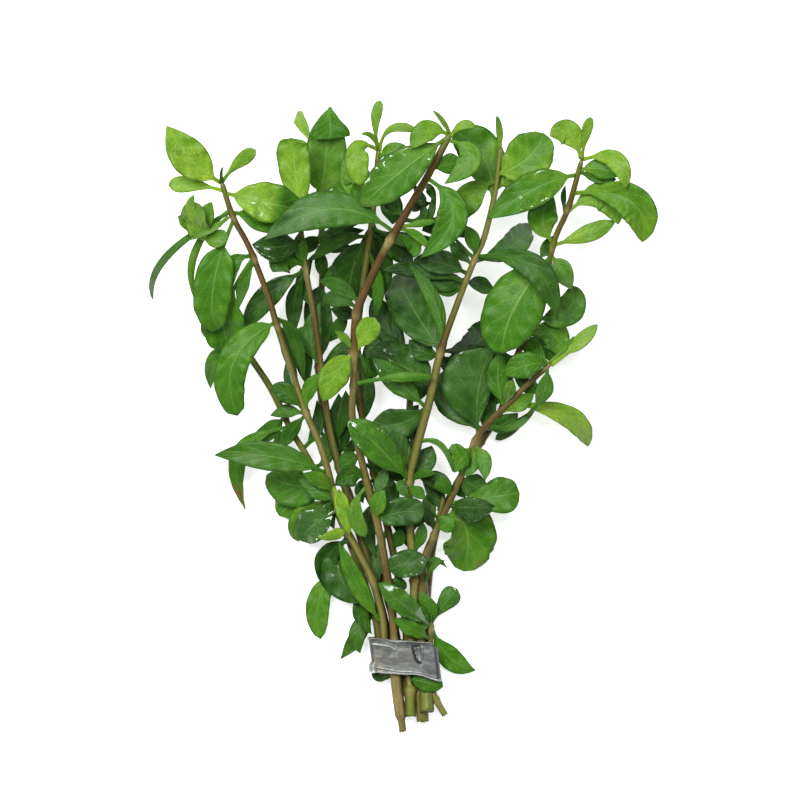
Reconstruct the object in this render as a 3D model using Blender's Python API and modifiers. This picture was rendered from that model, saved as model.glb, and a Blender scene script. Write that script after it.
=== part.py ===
"""Bunch of cut hygrophila stems, bound near their cut ends by a soft metal strip.

The bunch lies on its back. The origin is under the middle of the strip, on the
surface it lies on, with +Y to the leaf tips and +Z up. Routes and leaf places
are in millimetres and are turned into metres as the pieces are made.
"""

import math
from collections import namedtuple

import bmesh
import bpy
from mathutils import Matrix, Vector

MM = 0.001

# Driving dimensions, in millimetres
STRIP_WIDTH = 22.0
STRIP_HEIGHT = 10.8
STRIP_DEPTH = 10.8
STRIP_WALL = 0.9
STRIP_CORNER = 3.4
STRIP_SLOPE = 0.15
STRIP_LEAN = 0.08
STRIP_CORNER_STEPS = 4
LAP_WIDTH = 8.0
LAP_THICKNESS = 0.7
LAP_X = -1.2
LAP_SHARE = 0.96
LEAF_THICKNESS = 0.5
STALK_HALF_WIDTH = 0.55
TIP_HALF_WIDTH = 0.45
LEAF_FOLD = 0.16
GAP = 0.3
SWELL = 1.28
LONG_LEAF = 24.0
SHORT_LEAF = 14.0
LONG_LEAF_ROWS = 6
MIDDLE_LEAF_ROWS = 4
SHORT_LEAF_ROWS = 3
STEM_BEVEL_RESOLUTION = 1
SMALLEST_SIDE = 0.000001
MERGE_DISTANCE = 0.01

# Leaf outlines: how the width grows from the stalk and closes at the tip,
# and the share of the length that is bare stalk
Outline = namedtuple("Outline", "grow close stalk")
LANCE = Outline(0.95, 1.0, 0.1)
OVAL = Outline(0.95, 0.74, 0.08)
SPOON = Outline(1.5, 0.6, 0.05)
RIBBON = Outline(0.45, 0.6, 0.12)
STALKED = Outline(0.75, 0.8, 0.3)
BLUNT = Outline(0.6, 0.56, 0.06)
SHIELD = Outline(1.2, 0.56, 0.1)

Stem = namedtuple("Stem", "foot_radius tip_radius route")
Leaf = namedtuple("Leaf", "name stem y middle tip width outline")

# Stem routes from the tip to the cut end: x, y, z and 1 where a leaf joint swells
STEMS = {
    "a": Stem(1.35, 0.85, (
        (-57.5, 150.5, 36.2, 0), (-54.0, 139.5, 34.0, 1), (-50.0, 132.0, 32.6, 0),
        (-47.5, 126.5, 31.5, 1), (-42.8, 114.0, 28.8, 0), (-40.3, 105.5, 27.0, 1),
        (-36.0, 92.0, 24.0, 0), (-31.2, 77.8, 20.5, 1), (-26.0, 65.5, 18.0, 0),
        (-20.4, 45.0, 13.5, 0), (-15.4, 34.8, 11.4, 0), (-10.3, 24.5, 9.5, 1),
        (-7.3, 14.0, 7.8, 0), (-6.4, 6.0, 7.3, 0), (-6.1, -5.6, 7.1, 0))),
    "b": Stem(1.45, 0.8, (
        (14.5, 165.0, 46.0, 0), (7.6, 152.0, 43.8, 0), (-4.4, 131.5, 39.0, 1),
        (-11.0, 118.5, 35.4, 0), (-14.8, 109.0, 33.0, 1), (-15.7, 96.4, 29.8, 1),
        (-16.1, 86.0, 27.0, 1), (-16.2, 75.0, 24.0, 0), (-12.9, 60.0, 20.0, 0),
        (-8.5, 42.5, 15.5, 0), (-5.9, 29.0, 12.0, 0), (-5.0, 23.0, 10.6, 1),
        (-3.6, 12.0, 8.0, 0), (-3.0, 4.0, 7.4, 0), (-2.5, -8.0, 7.4, 0),
        (-1.1, -19.0, 7.0, 0), (-0.4, -24.0, 6.8, 0))),
    "c": Stem(1.5, 0.8, (
        (30.3, 161.0, 40.0, 0), (28.6, 147.0, 37.5, 0), (25.3, 133.0, 34.8, 0),
        (22.3, 126.0, 33.5, 1), (17.0, 112.5, 30.5, 0), (11.6, 97.0, 27.0, 1),
        (8.2, 82.0, 23.3, 0), (4.6, 68.6, 20.0, 0), (1.7, 55.5, 16.5, 1),
        (2.0, 39.5, 12.0, 0), (3.3, 24.0, 9.2, 1), (2.4, 8.0, 7.4, 0),
        (1.3, -5.0, 7.4, 0), (1.9, -11.0, 7.4, 1), (2.0, -19.2, 7.0, 0))),
    "d": Stem(1.35, 0.85, (
        (55.7, 157.0, 42.0, 0), (51.6, 142.0, 38.0, 1), (46.8, 130.0, 34.0, 1),
        (43.4, 110.0, 27.2, 0), (38.9, 102.4, 24.0, 1), (34.6, 92.5, 19.3, 0),
        (32.8, 84.5, 15.8, 0), (30.0, 76.5, 12.4, 0), (24.5, 68.0, 9.0, 1),
        (17.0, 55.0, 5.6, 0), (10.6, 41.0, 4.4, 0), (7.8, 24.0, 3.4, 0),
        (7.0, 6.0, 3.0, 0), (6.9, -8.0, 3.0, 0), (7.9, -17.7, 3.2, 0))),
    "e": Stem(1.45, 0.9, (
        (46.4, 93.0, 25.0, 1), (38.9, 86.3, 22.6, 0), (32.6, 80.0, 20.4, 0),
        (27.2, 74.8, 18.7, 0), (22.5, 68.6, 16.8, 1), (18.0, 57.0, 14.0, 0),
        (13.8, 47.6, 12.0, 0), (9.6, 38.5, 10.4, 1), (6.4, 30.0, 9.3, 0),
        (5.5, 14.0, 7.6, 0), (5.2, 4.0, 7.3, 0), (4.9, -5.0, 6.8, 0),
        (5.1, -11.0, 5.6, 0), (6.6, -20.2, 5.2, 0))),
    "f": Stem(1.25, 0.95, (
        (-49.5, 96.0, 14.0, 1), (-42.0, 84.5, 13.0, 0), (-36.0, 72.0, 11.4, 1),
        (-30.6, 63.0, 10.0, 0), (-22.0, 47.0, 7.0, 1), (-14.4, 28.0, 4.8, 0),
        (-9.2, 12.0, 3.3, 0), (-8.0, 2.0, 3.0, 0), (-7.7, -5.4, 3.0, 0))),
    "g": Stem(1.25, 0.85, (
        (-33.6, 143.0, 24.2, 0), (-31.2, 123.0, 20.0, 1), (-28.6, 108.0, 16.8, 0),
        (-26.4, 92.0, 14.0, 1), (-24.3, 76.0, 11.6, 0), (-20.8, 60.0, 9.1, 1),
        (-14.4, 39.0, 6.2, 0), (-7.2, 15.0, 3.5, 0), (-5.0, 3.0, 3.0, 0),
        (-5.0, -6.8, 3.0, 0))),
    "h": Stem(1.2, 0.85, (
        (-28.0, 161.0, 9.0, 0), (-26.2, 134.0, 6.5, 1), (-26.3, 116.0, 5.6, 0),
        (-27.4, 92.0, 4.8, 1), (-24.0, 70.0, 4.0, 0), (-15.4, 46.0, 3.2, 1),
        (-6.6, 22.0, 3.0, 0), (-2.1, 4.0, 3.0, 0), (-2.2, -12.0, 3.0, 0))),
    "i": Stem(1.25, 1.0, (
        (2.6, 92.0, 12.0, 1), (1.2, 66.0, 8.0, 1), (2.0, 40.0, 5.0, 0),
        (3.4, 20.0, 3.4, 0), (3.9, 6.0, 3.0, 0), (3.9, -11.5, 3.0, 0))),
    "j": Stem(1.0, 0.7, (
        (12.6, 51.0, 8.6, 0), (10.2, 40.0, 7.3, 1), (7.1, 30.0, 6.2, 0),
        (6.6, 24.0, 6.0, 0), (7.7, 14.0, 5.7, 0), (8.5, 9.0, 6.3, 1), (8.3, 0.0, 6.3, 0),
        (9.2, -11.0, 6.2, 0), (10.2, -14.0, 6.0, 1), (13.0, -18.9, 5.2, 0))),
    "k": Stem(1.25, 0.85, (
        (-8.0, 161.0, 27.0, 0), (-10.0, 140.0, 23.0, 1), (-13.0, 118.0, 18.4, 0),
        (-15.0, 98.0, 14.6, 1), (-13.6, 78.0, 11.0, 0), (-9.6, 58.0, 7.6, 1),
        (-4.6, 38.0, 5.0, 0), (-0.6, 18.0, 3.2, 0), (0.9, 4.0, 3.0, 0),
        (0.8, -13.0, 3.0, 0))),
}

# The larger leaves, each a piece of its own: the stem it grows from and the y
# of its joint there, a point half way along its midrib, its tip, its width and
# its outline
LEAVES = (
    Leaf("a1", "a", 150.0, (-66.6, 156.8, 41.0), (-73.6, 166.4, 43.0), 12.2, OVAL),
    Leaf("a2", "a", 146.3, (-44.0, 143.8, 38.6), (-31.5, 141.0, 34.0), 12.5, OVAL),
    Leaf("a3", "a", 138.2, (-58.8, 117.0, 31.0), (-56.5, 99.5, 22.0), 14.5, BLUNT),
    Leaf("a4", "a", 126.0, (-54.0, 110.0, 25.0), (-56.5, 96.5, 15.5), 11.0, OVAL),
    Leaf("a5", "a", 106.0, (-53.4, 94.5, 30.0), (-52.4, 76.6, 22.0), 9.4, BLUNT),
    Leaf("a6", "a", 78.2, (-29.4, 85.0, 24.0), (-24.3, 90.0, 26.0), 4.8, LANCE),
    Leaf("a7", "a", 58.5, (-41.0, 63.6, 22.0), (-60.2, 64.0, 20.0), 9.4, LANCE),
    Leaf("a8", "a", 46.5, (-27.0, 43.2, 12.6), (-33.0, 38.8, 9.0), 11.4, BLUNT),
    Leaf("a9", "a", 11.0, (-14.3, 22.0, 12.6), (-20.8, 36.5, 15.6), 5.8, LANCE),
    Leaf("b1", "b", 161.0, (-1.0, 153.0, 49.5), (-13.6, 142.3, 46.5), 13.4, OVAL),
    Leaf("b2", "b", 151.0, (15.3, 139.5, 44.5), (5.0, 126.0, 42.0), 10.0, LANCE),
    Leaf("b3", "b", 134.0, (-23.0, 141.2, 44.5), (-44.0, 131.6, 40.5), 12.0, LANCE),
    Leaf("b4", "b", 95.5, (-20.8, 90.6, 33.0), (-25.5, 81.0, 31.0), 8.0, OVAL),
    Leaf("b5", "b", 43.5, (-0.6, 46.0, 18.4), (6.4, 45.6, 17.6), 9.6, BLUNT),
    Leaf("b6", "b", 27.2, (1.0, 29.4, 14.2), (6.8, 28.4, 14.2), 10.0, BLUNT),
    Leaf("c1", "c", 145.0, (24.8, 158.0, 34.0), (15.2, 166.4, 36.0), 13.6, BLUNT),
    Leaf("c2", "c", 152.5, (38.2, 157.4, 41.8), (43.8, 165.0, 40.5), 14.6, BLUNT),
    Leaf("c3", "c", 150.0, (20.6, 146.2, 36.4), (16.0, 138.5, 35.5), 6.6, LANCE),
    Leaf("c4", "c", 125.2, (33.4, 130.0, 22.0), (39.6, 138.0, 0.5), 8.6, OVAL),
    Leaf("c5", "c", 126.8, (40.6, 127.3, 42.5), (48.2, 106.8, 37.0), 8.0, LANCE),
    Leaf("c6", "c", 97.0, (4.6, 109.0, 19.0), (-2.6, 121.4, 0.5), 14.5, BLUNT),
    Leaf("c7", "c", 86.5, (0.0, 92.0, 16.0), (-10.6, 97.5, 13.5), 14.5, BLUNT),
    Leaf("c8", "c", 56.0, (-8.0, 66.5, 26.5), (-17.8, 75.0, 29.0), 10.5, OVAL),
    Leaf("d1", "d", 157.0, (52.6, 163.6, 45.0), (45.4, 163.4, 46.0), 8.6, LANCE),
    Leaf("d2", "d", 157.0, (65.8, 156.4, 49.0), (69.2, 147.4, 49.0), 6.2, OVAL),
    Leaf("d3", "d", 152.0, (41.0, 148.0, 44.5), (26.2, 138.2, 42.5), 11.2, LANCE),
    Leaf("d4", "d", 146.5, (71.2, 144.0, 46.5), (74.6, 130.8, 41.0), 11.2, SHIELD),
    Leaf("d5", "d", 141.0, (62.0, 145.4, 39.5), (67.2, 136.6, 38.0), 9.5, OVAL),
    Leaf("d6", "d", 130.5, (57.8, 133.6, 34.5), (66.2, 137.5, 34.5), 5.6, OVAL),
    Leaf("d7", "d", 131.0, (43.6, 138.3, 37.0), (46.8, 145.6, 39.5), 9.6, OVAL),
    Leaf("d8", "d", 126.5, (34.6, 110.6, 35.5), (30.8, 96.2, 31.0), 18.6, BLUNT),
    Leaf("d9", "d", 107.5, (51.6, 109.6, 26.5), (53.2, 117.6, 27.5), 9.6, BLUNT),
    Leaf("d10", "d", 102.3, (46.6, 102.2, 23.0), (49.6, 95.4, 21.0), 9.6, OVAL),
    Leaf("e1", "e", 80.6, (51.4, 78.4, 13.0), (58.6, 66.2, 0.5), 8.2, OVAL),
    Leaf("e2", "e", 70.5, (23.6, 85.0, 18.5), (27.6, 97.6, 20.5), 14.0, OVAL),
    Leaf("e3", "e", 49.0, (27.0, 50.6, 17.0), (36.6, 52.0, 15.5), 11.5, SHIELD),
    Leaf("e4", "e", 44.5, (19.4, 39.8, 8.0), (19.6, 26.6, 0.5), 17.6, OVAL),
    Leaf("f1", "f", 73.0, (-49.2, 67.0, 9.0), (-52.4, 47.0, 0.5), 8.0, LANCE),
    Leaf("f2", "f", 57.5, (-33.5, 54.0, 6.0), (-44.0, 57.5, 1.0), 14.0, BLUNT),
    Leaf("f3", "f", 37.5, (-21.0, 27.5, 8.5), (-14.0, 16.8, 8.0), 12.0, OVAL),
    Leaf("f4", "f", 24.5, (-25.2, 21.0, 2.6), (-25.8, 5.0, 0.5), 7.4, SHIELD),
    Leaf("g1", "g", 142.5, (-35.0, 156.8, 27.0), (-34.4, 164.8, 29.0), 11.6, SPOON),
    Leaf("g2", "g", 122.5, (-43.0, 114.6, 21.0), (-51.6, 103.0, 17.0), 8.4, LANCE),
    Leaf("h1", "h", 147.0, (-24.4, 158.0, 14.0), (-24.6, 172.0, 18.0), 12.5, BLUNT),
    Leaf("j1", "j", 9.4, (0.4, 16.2, 18.4), (-8.0, 23.6, 18.4), 7.4, OVAL),
    Leaf("j2", "j", 8.6, (14.4, 0.9, 2.4), (22.4, -4.4, 0.5), 7.2, SHIELD),
    Leaf("k1", "k", 160.5, (-14.4, 160.4, 33.0), (-13.6, 149.0, 33.0), 7.6, SHIELD),
    Leaf("k2", "k", 142.0, (-14.4, 149.5, 20.6), (-19.0, 158.0, 19.0), 10.0, OVAL),
)

# The smaller leaves, each fused to the stem it grows from
SMALL_LEAVES = (
    Leaf("", "a", 147.4, (-66.0, 149.6, 34.6), (-73.9, 149.4, 34.0), 4.6, SPOON),
    Leaf("", "a", 150.2, (-52.0, 155.8, 41.0), (-46.4, 159.8, 43.0), 4.6, SPOON),
    Leaf("", "a", 140.2, (-46.0, 138.6, 33.0), (-37.6, 133.4, 31.0), 6.6, LANCE),
    Leaf("", "a", 141.2, (-67.0, 128.0, 25.0), (-66.4, 112.0, 18.0), 3.2, LANCE),
    Leaf("", "a", 140.7, (-75.2, 127.6, 24.0), (-80.0, 113.2, 0.5), 2.8, RIBBON),
    Leaf("", "a", 140.0, (-63.5, 138.4, 39.0), (-71.2, 139.4, 40.4), 8.4, OVAL),
    Leaf("", "a", 142.6, (-62.5, 142.0, 41.0), (-65.2, 145.6, 43.0), 5.4, OVAL),
    Leaf("", "a", 139.1, (-62.0, 134.2, 36.4), (-67.8, 132.0, 34.6), 7.2, OVAL),
    Leaf("", "a", 127.0, (-53.8, 124.2, 31.5), (-54.2, 116.2, 30.5), 5.0, LANCE),
    Leaf("", "a", 107.0, (-35.0, 101.6, 22.6), (-31.8, 87.5, 17.0), 4.8, LANCE),
    Leaf("", "a", 78.6, (-36.5, 83.6, 22.4), (-42.4, 85.3, 22.4), 6.6, OVAL),
    Leaf("", "a", 77.4, (-37.0, 77.6, 18.6), (-42.4, 76.6, 17.6), 4.4, LANCE),
    Leaf("", "a", 76.8, (-36.0, 71.6, 15.6), (-39.6, 66.0, 14.6), 5.0, LANCE),
    Leaf("", "a", 52.5, (-26.5, 56.0, 20.0), (-32.0, 58.2, 23.0), 5.4, LANCE),
    Leaf("", "a", 50.0, (-27.0, 52.4, 16.6), (-33.6, 56.5, 16.4), 5.4, LANCE),
    Leaf("", "a", 41.6, (-18.8, 47.5, 18.0), (-20.8, 53.3, 19.4), 4.4, LANCE),
    Leaf("", "a", 40.5, (-20.5, 39.4, 14.6), (-25.0, 39.2, 15.0), 3.4, LANCE),
    Leaf("", "b", 164.3, (7.2, 165.6, 49.0), (2.4, 159.8, 50.5), 7.2, OVAL),
    Leaf("", "b", 164.8, (12.6, 168.6, 48.5), (9.0, 171.8, 50.0), 1.7, RIBBON),
    Leaf("", "b", 164.0, (18.2, 167.4, 47.5), (22.6, 166.6, 48.0), 3.2, OVAL),
    Leaf("", "b", 163.0, (20.4, 157.2, 47.6), (12.6, 149.0, 47.6), 6.8, LANCE),
    Leaf("", "b", 154.0, (13.4, 155.4, 42.4), (17.9, 156.2, 41.4), 6.8, OVAL),
    Leaf("", "b", 136.0, (5.0, 136.8, 39.6), (10.8, 137.8, 39.6), 2.4, LANCE),
    Leaf("", "b", 135.4, (4.0, 133.2, 38.2), (8.0, 128.3, 37.6), 2.8, LANCE),
    Leaf("", "b", 139.0, (-3.5, 142.0, 38.4), (-6.5, 144.0, 37.6), 5.0, LANCE),
    Leaf("", "b", 96.8, (-12.2, 101.6, 33.0), (-9.2, 107.4, 35.0), 7.6, SHIELD),
    Leaf("", "b", 97.2, (-18.6, 101.0, 32.0), (-21.8, 103.2, 33.0), 3.2, LANCE),
    Leaf("", "b", 86.6, (-3.0, 88.6, 30.0), (9.0, 88.7, 29.6), 3.2, STALKED),
    Leaf("", "b", 44.0, (-8.0, 48.4, 20.6), (-6.2, 53.2, 22.0), 6.0, OVAL),
    Leaf("", "b", 51.0, (-7.0, 55.4, 17.6), (-6.2, 60.5, 17.4), 4.5, LANCE),
    Leaf("", "b", 54.0, (-15.2, 47.0, 19.0), (-12.2, 38.0, 17.0), 5.2, SHIELD),
    Leaf("", "b", 57.0, (-17.0, 57.4, 22.4), (-21.8, 54.4, 23.0), 7.0, OVAL),
    Leaf("", "c", 160.6, (29.9, 165.8, 42.5), (29.0, 170.4, 45.0), 2.2, RIBBON),
    Leaf("", "c", 157.0, (32.2, 152.0, 37.6), (33.0, 147.0, 36.4), 5.0, LANCE),
    Leaf("", "c", 98.5, (10.0, 111.5, 27.6), (1.6, 124.2, 28.0), 5.0, LANCE),
    Leaf("", "c", 97.0, (21.5, 98.5, 10.5), (26.5, 109.0, 2.0), 12.0, OVAL),
    Leaf("", "c", 79.0, (-1.5, 87.2, 24.0), (-10.0, 95.0, 23.0), 8.0, LANCE),
    Leaf("", "c", 121.0, (12.0, 124.6, 27.0), (3.0, 126.0, 24.0), 8.4, LANCE),
    Leaf("", "c", 118.6, (23.5, 117.6, 27.0), (29.0, 115.8, 24.0), 5.4, LANCE),
    Leaf("", "c", 60.0, (-1.0, 66.0, 18.6), (-3.6, 72.0, 18.6), 6.5, OVAL),
    Leaf("", "c", 57.0, (6.4, 61.6, 14.6), (8.8, 67.0, 14.0), 7.6, OVAL),
    Leaf("", "c", 68.6, (11.8, 67.0, 21.6), (15.5, 58.5, 20.0), 2.0, RIBBON),
    Leaf("", "c", 55.5, (5.6, 58.0, 19.0), (10.4, 58.0, 19.0), 3.0, LANCE),
    Leaf("", "c", 54.6, (4.2, 52.4, 19.2), (6.6, 50.2, 20.0), 4.2, LANCE),
    Leaf("", "c", 33.0, (5.4, 38.0, 13.6), (5.5, 43.0, 13.8), 4.0, LANCE),
    Leaf("", "c", 126.8, (21.2, 131.6, 37.0), (19.3, 136.3, 38.5), 4.8, LANCE),
    Leaf("", "c", -7.6, (6.5, -8.6, 10.2), (12.4, -9.7, 9.4), 5.0, LANCE),
    Leaf("", "d", 157.0, (57.0, 163.6, 48.5), (58.2, 169.8, 51.0), 3.4, SPOON),
    Leaf("", "d", 153.6, (61.0, 154.2, 42.6), (67.4, 151.6, 42.8), 6.4, OVAL),
    Leaf("", "d", 126.5, (49.6, 122.6, 33.6), (52.7, 116.2, 33.2), 7.0, LANCE),
    Leaf("", "e", 92.8, (54.2, 99.4, 27.0), (60.8, 105.8, 28.0), 4.6, STALKED),
    Leaf("", "e", 92.2, (39.0, 92.6, 28.0), (31.6, 89.6, 26.4), 8.6, OVAL),
    Leaf("", "e", 91.6, (45.8, 86.0, 24.0), (41.8, 79.2, 22.0), 6.8, LANCE),
    Leaf("", "e", 74.0, (34.5, 73.0, 15.4), (42.0, 79.0, 15.0), 2.5, LANCE),
    Leaf("", "e", 78.0, (36.4, 80.4, 20.2), (41.2, 83.6, 20.0), 5.2, LANCE),
    Leaf("", "e", 79.4, (29.6, 88.0, 22.0), (30.5, 96.5, 24.0), 7.4, LANCE),
    Leaf("", "e", 66.4, (18.0, 63.0, 19.4), (16.0, 58.5, 19.0), 6.4, OVAL),
    Leaf("", "e", 67.2, (25.0, 62.5, 19.0), (25.6, 56.0, 20.6), 5.0, LANCE),
    Leaf("", "e", 51.0, (12.6, 54.2, 15.6), (11.0, 57.5, 16.4), 6.0, OVAL),
    Leaf("", "e", 40.6, (13.0, 42.8, 13.6), (16.0, 44.0, 14.0), 5.4, OVAL),
    Leaf("", "e", 28.5, (9.8, 30.8, 12.0), (13.6, 28.2, 12.0), 2.0, LANCE),
    Leaf("", "f", 95.6, (-59.2, 94.8, 11.0), (-62.4, 85.2, 0.5), 6.6, LANCE),
    Leaf("", "f", 13.2, (-15.6, 8.0, 2.2), (-20.6, -1.4, 0.5), 5.4, LANCE),
    Leaf("", "f", 14.6, (-14.6, 8.4, 6.0), (-13.6, 0.2, 5.0), 4.6, LANCE),
    Leaf("", "g", 132.0, (-39.6, 130.6, 26.4), (-48.0, 130.6, 27.0), 7.4, LANCE),
    Leaf("", "g", 124.0, (-37.4, 126.0, 22.6), (-41.6, 122.0, 23.6), 9.4, OVAL),
    Leaf("", "g", 121.6, (-34.8, 113.0, 14.6), (-34.6, 103.0, 11.0), 5.6, LANCE),
    Leaf("", "g", 105.0, (-32.2, 102.0, 12.4), (-35.0, 98.0, 10.0), 5.0, OVAL),
    Leaf("", "h", 160.6, (-31.6, 168.6, 6.0), (-34.2, 173.2, 0.5), 4.4, SPOON),
    Leaf("", "h", 92.0, (-26.4, 104.0, 8.4), (-25.6, 117.0, 10.0), 7.0, LANCE),
    Leaf("", "h", 119.0, (-21.6, 122.0, 9.0), (-16.4, 118.5, 8.0), 5.0, LANCE),
    Leaf("", "i", 66.4, (0.4, 73.0, 12.6), (4.6, 80.0, 14.6), 8.0, OVAL),
    Leaf("", "j", 5.2, (2.8, 8.4, 12.0), (-3.2, 12.0, 10.2), 5.6, LANCE),
    Leaf("", "j", 10.4, (12.6, 16.8, 9.0), (16.4, 21.8, 10.0), 6.6, SPOON),
    Leaf("", "j", 10.8, (7.9, 15.4, 10.8), (4.6, 20.6, 11.6), 5.6, LANCE),
    Leaf("", "k", 160.8, (-8.9, 169.0, 32.0), (-7.4, 175.8, 33.0), 3.6, SPOON),
    Leaf("", "k", 160.2, (-4.2, 166.8, 31.0), (4.2, 166.2, 31.0), 3.0, SPOON),
    Leaf("", "k", 158.0, (-4.2, 160.6, 29.0), (1.6, 160.4, 29.0), 5.0, OVAL),
    Leaf("", "k", 132.0, (-16.0, 124.0, 15.0), (-17.6, 112.6, 9.0), 13.0, OVAL),
    Leaf("", "k", 133.0, (-21.0, 131.8, 21.0), (-29.4, 125.6, 16.6), 5.0, LANCE),
    Leaf("", "k", 34.0, (-1.8, 37.4, 8.4), (-1.5, 40.5, 9.4), 4.6, LANCE),
)

COLOURS = {
    "young leaf": (0.26, 0.48, 0.04, 1.0),
    "leaf": (0.08, 0.30, 0.02, 1.0),
    "old leaf": (0.02, 0.11, 0.01, 1.0),
    "stem": (0.20, 0.17, 0.04, 1.0),
    "metal": (0.21, 0.22, 0.23, 1.0),
}
YOUNG_HEIGHT = 36.0
OLD_HEIGHT = 17.0
STEM_ROUGHNESS = 0.5
LEAF_ROUGHNESS = 0.35
METAL_ROUGHNESS = 0.42


def clear_scene():
    """Remove every object and material that is already there."""
    for thing in list(bpy.data.objects):
        bpy.data.objects.remove(thing, do_unlink=True)
    for material in list(bpy.data.materials):
        bpy.data.materials.remove(material)


def new_collection(name):
    """Make a collection under the scene's own."""
    collection = bpy.data.collections.new(name)
    bpy.context.scene.collection.children.link(collection)
    return collection


def surface(name, roughness, metallic=0.0):
    """A Principled material in one of the named colours."""
    material = bpy.data.materials.new(name)
    material.use_nodes = True
    shader = material.node_tree.nodes["Principled BSDF"]
    shader.inputs["Base Color"].default_value = COLOURS[name]
    shader.inputs["Roughness"].default_value = roughness
    shader.inputs["Metallic"].default_value = metallic
    return material


def add_object(name, data, collection, material):
    """Put mesh or curve data in the scene under a name."""
    made = bpy.data.objects.new(name, data)
    made.data.materials.append(material)
    collection.objects.link(made)
    return made


def stem_axis(letter, y):
    """A stem's centre where it crosses the height y, its radius and its direction."""
    stem = STEMS[letter]
    route = stem.route
    top = route[0][1]
    foot = route[-1][1]
    y = min(max(y, foot), top)
    for upper, lower in zip(route, route[1:]):
        if lower[1] <= y <= upper[1]:
            share = (upper[1] - y) / (upper[1] - lower[1])
            point = Vector(upper[:3]).lerp(Vector(lower[:3]), share)
            swell = 1.0 + (SWELL - 1.0) * (upper[3] * (1.0 - share) + lower[3] * share)
            down = (top - y) / (top - foot)
            radius = stem.tip_radius + (stem.foot_radius - stem.tip_radius) * down
            direction = (Vector(upper[:3]) - Vector(lower[:3])).normalized()
            return point, radius * swell, direction
    raise ValueError("stem " + letter + " has no point at " + str(y))


def half_width(leaf, along):
    """Half of the leaf's width at a share of its length."""
    outline = leaf.outline
    blade = (along - outline.stalk) / (1.0 - outline.stalk)
    if blade <= 0.0:
        return STALK_HALF_WIDTH
    widest = outline.grow / (outline.grow + outline.close)
    peak = widest ** outline.grow * (1.0 - widest) ** outline.close
    share = blade ** outline.grow * max(1.0 - blade, 0.0) ** outline.close / peak
    least = STALK_HALF_WIDTH + (TIP_HALF_WIDTH - STALK_HALF_WIDTH) * blade
    return max(share * leaf.width / 2.0, least)


def midrib(leaf, own_piece):
    """The three points that steer a leaf's midrib, as a quadratic curve."""
    middle = Vector(leaf.middle)
    tip = Vector(leaf.tip)
    start, radius, direction = stem_axis(leaf.stem, leaf.y)
    if own_piece:
        away = middle - start
        away = (away - direction * away.dot(direction)).normalized()
        start = start + away * (radius + GAP + STALK_HALF_WIDTH)
    return start, middle * 2.0 - (start + tip) / 2.0, tip


def leaf_point(leaf, curve, across, along):
    """A point of the blade: across is -1 to 1 and along is 0 to 1."""
    start, steer, tip = curve
    rest = 1.0 - along
    centre = start * rest ** 2 + steer * 2.0 * rest * along + tip * along ** 2
    tangent = (steer - start) * 2.0 * rest + (tip - steer) * 2.0 * along
    side = Vector((tangent.y, -tangent.x, 0.0))
    if side.length < SMALLEST_SIDE:
        side = Vector((1.0, 0.0, 0.0))
    side.normalize()
    up = side.cross(tangent).normalized()
    reach = half_width(leaf, along) * across
    point = centre + side * reach + up * abs(reach) * LEAF_FOLD
    point.z = max(point.z, LEAF_THICKNESS / 2.0)
    return point * MM


def leaf_mesh(leaf, own_piece):
    """A blade as a small grid laid along the midrib."""
    curve = midrib(leaf, own_piece)
    length = (curve[0] - curve[1]).length + (curve[1] - curve[2]).length
    columns = 2 if own_piece else 1
    rows = MIDDLE_LEAF_ROWS
    if length > LONG_LEAF:
        rows = LONG_LEAF_ROWS
    if length < SHORT_LEAF:
        rows = SHORT_LEAF_ROWS
    form = bmesh.new()
    bmesh.ops.create_grid(form, x_segments=columns, y_segments=rows, size=1.0)
    for corner in form.verts:
        corner.co = leaf_point(leaf, curve, corner.co.x, (corner.co.y + 1.0) / 2.0)
    bmesh.ops.recalc_face_normals(form, faces=form.faces)
    mesh = bpy.data.meshes.new("leaf_" + leaf.name)
    form.to_mesh(mesh)
    form.free()
    return mesh


def make_leaf(leaf, name, collection, material, own_piece):
    """One leaf with its real thickness."""
    made = add_object(name, leaf_mesh(leaf, own_piece), collection, material)
    solid = made.modifiers.new("thickness", "SOLIDIFY")
    solid.thickness = LEAF_THICKNESS * MM
    solid.offset = 0.0
    return made


def make_stem(letter, collection, material):
    """A stem as a tube that swells at its leaf joints, made into a mesh."""
    stem = STEMS[letter]
    curve = bpy.data.curves.new("stem_" + letter, "CURVE")
    curve.dimensions = "3D"
    curve.bevel_depth = MM
    curve.bevel_resolution = STEM_BEVEL_RESOLUTION
    curve.use_fill_caps = True
    spline = curve.splines.new("POLY")
    spline.points.add(len(stem.route) - 1)
    for point, place in zip(spline.points, stem.route):
        axis, radius, direction = stem_axis(letter, place[1])
        point.co = (axis.x * MM, axis.y * MM, axis.z * MM, 1.0)
        point.radius = radius
    tube = bpy.data.objects.new("tube_" + letter, curve)
    collection.objects.link(tube)
    seen = tube.evaluated_get(bpy.context.evaluated_depsgraph_get())
    mesh = bpy.data.meshes.new_from_object(seen)
    place = tube.matrix_world.copy()
    bpy.data.objects.remove(tube, do_unlink=True)
    form = bmesh.new()
    form.from_mesh(mesh)
    bmesh.ops.remove_doubles(form, verts=form.verts, dist=MERGE_DISTANCE * MM)
    bmesh.ops.recalc_face_normals(form, faces=form.faces)
    form.to_mesh(mesh)
    form.free()
    mesh.materials.clear()
    made = add_object("stem_" + letter, mesh, collection, material)
    made.matrix_world = place
    return made


def fuse(whole, part):
    """Join a part to a piece by a Boolean union."""
    part.hide_render = True
    part.display_type = "WIRE"
    union = whole.modifiers.new("with " + part.name, "BOOLEAN")
    union.operation = "UNION"
    union.solver = "EXACT"
    union.object = part


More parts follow.
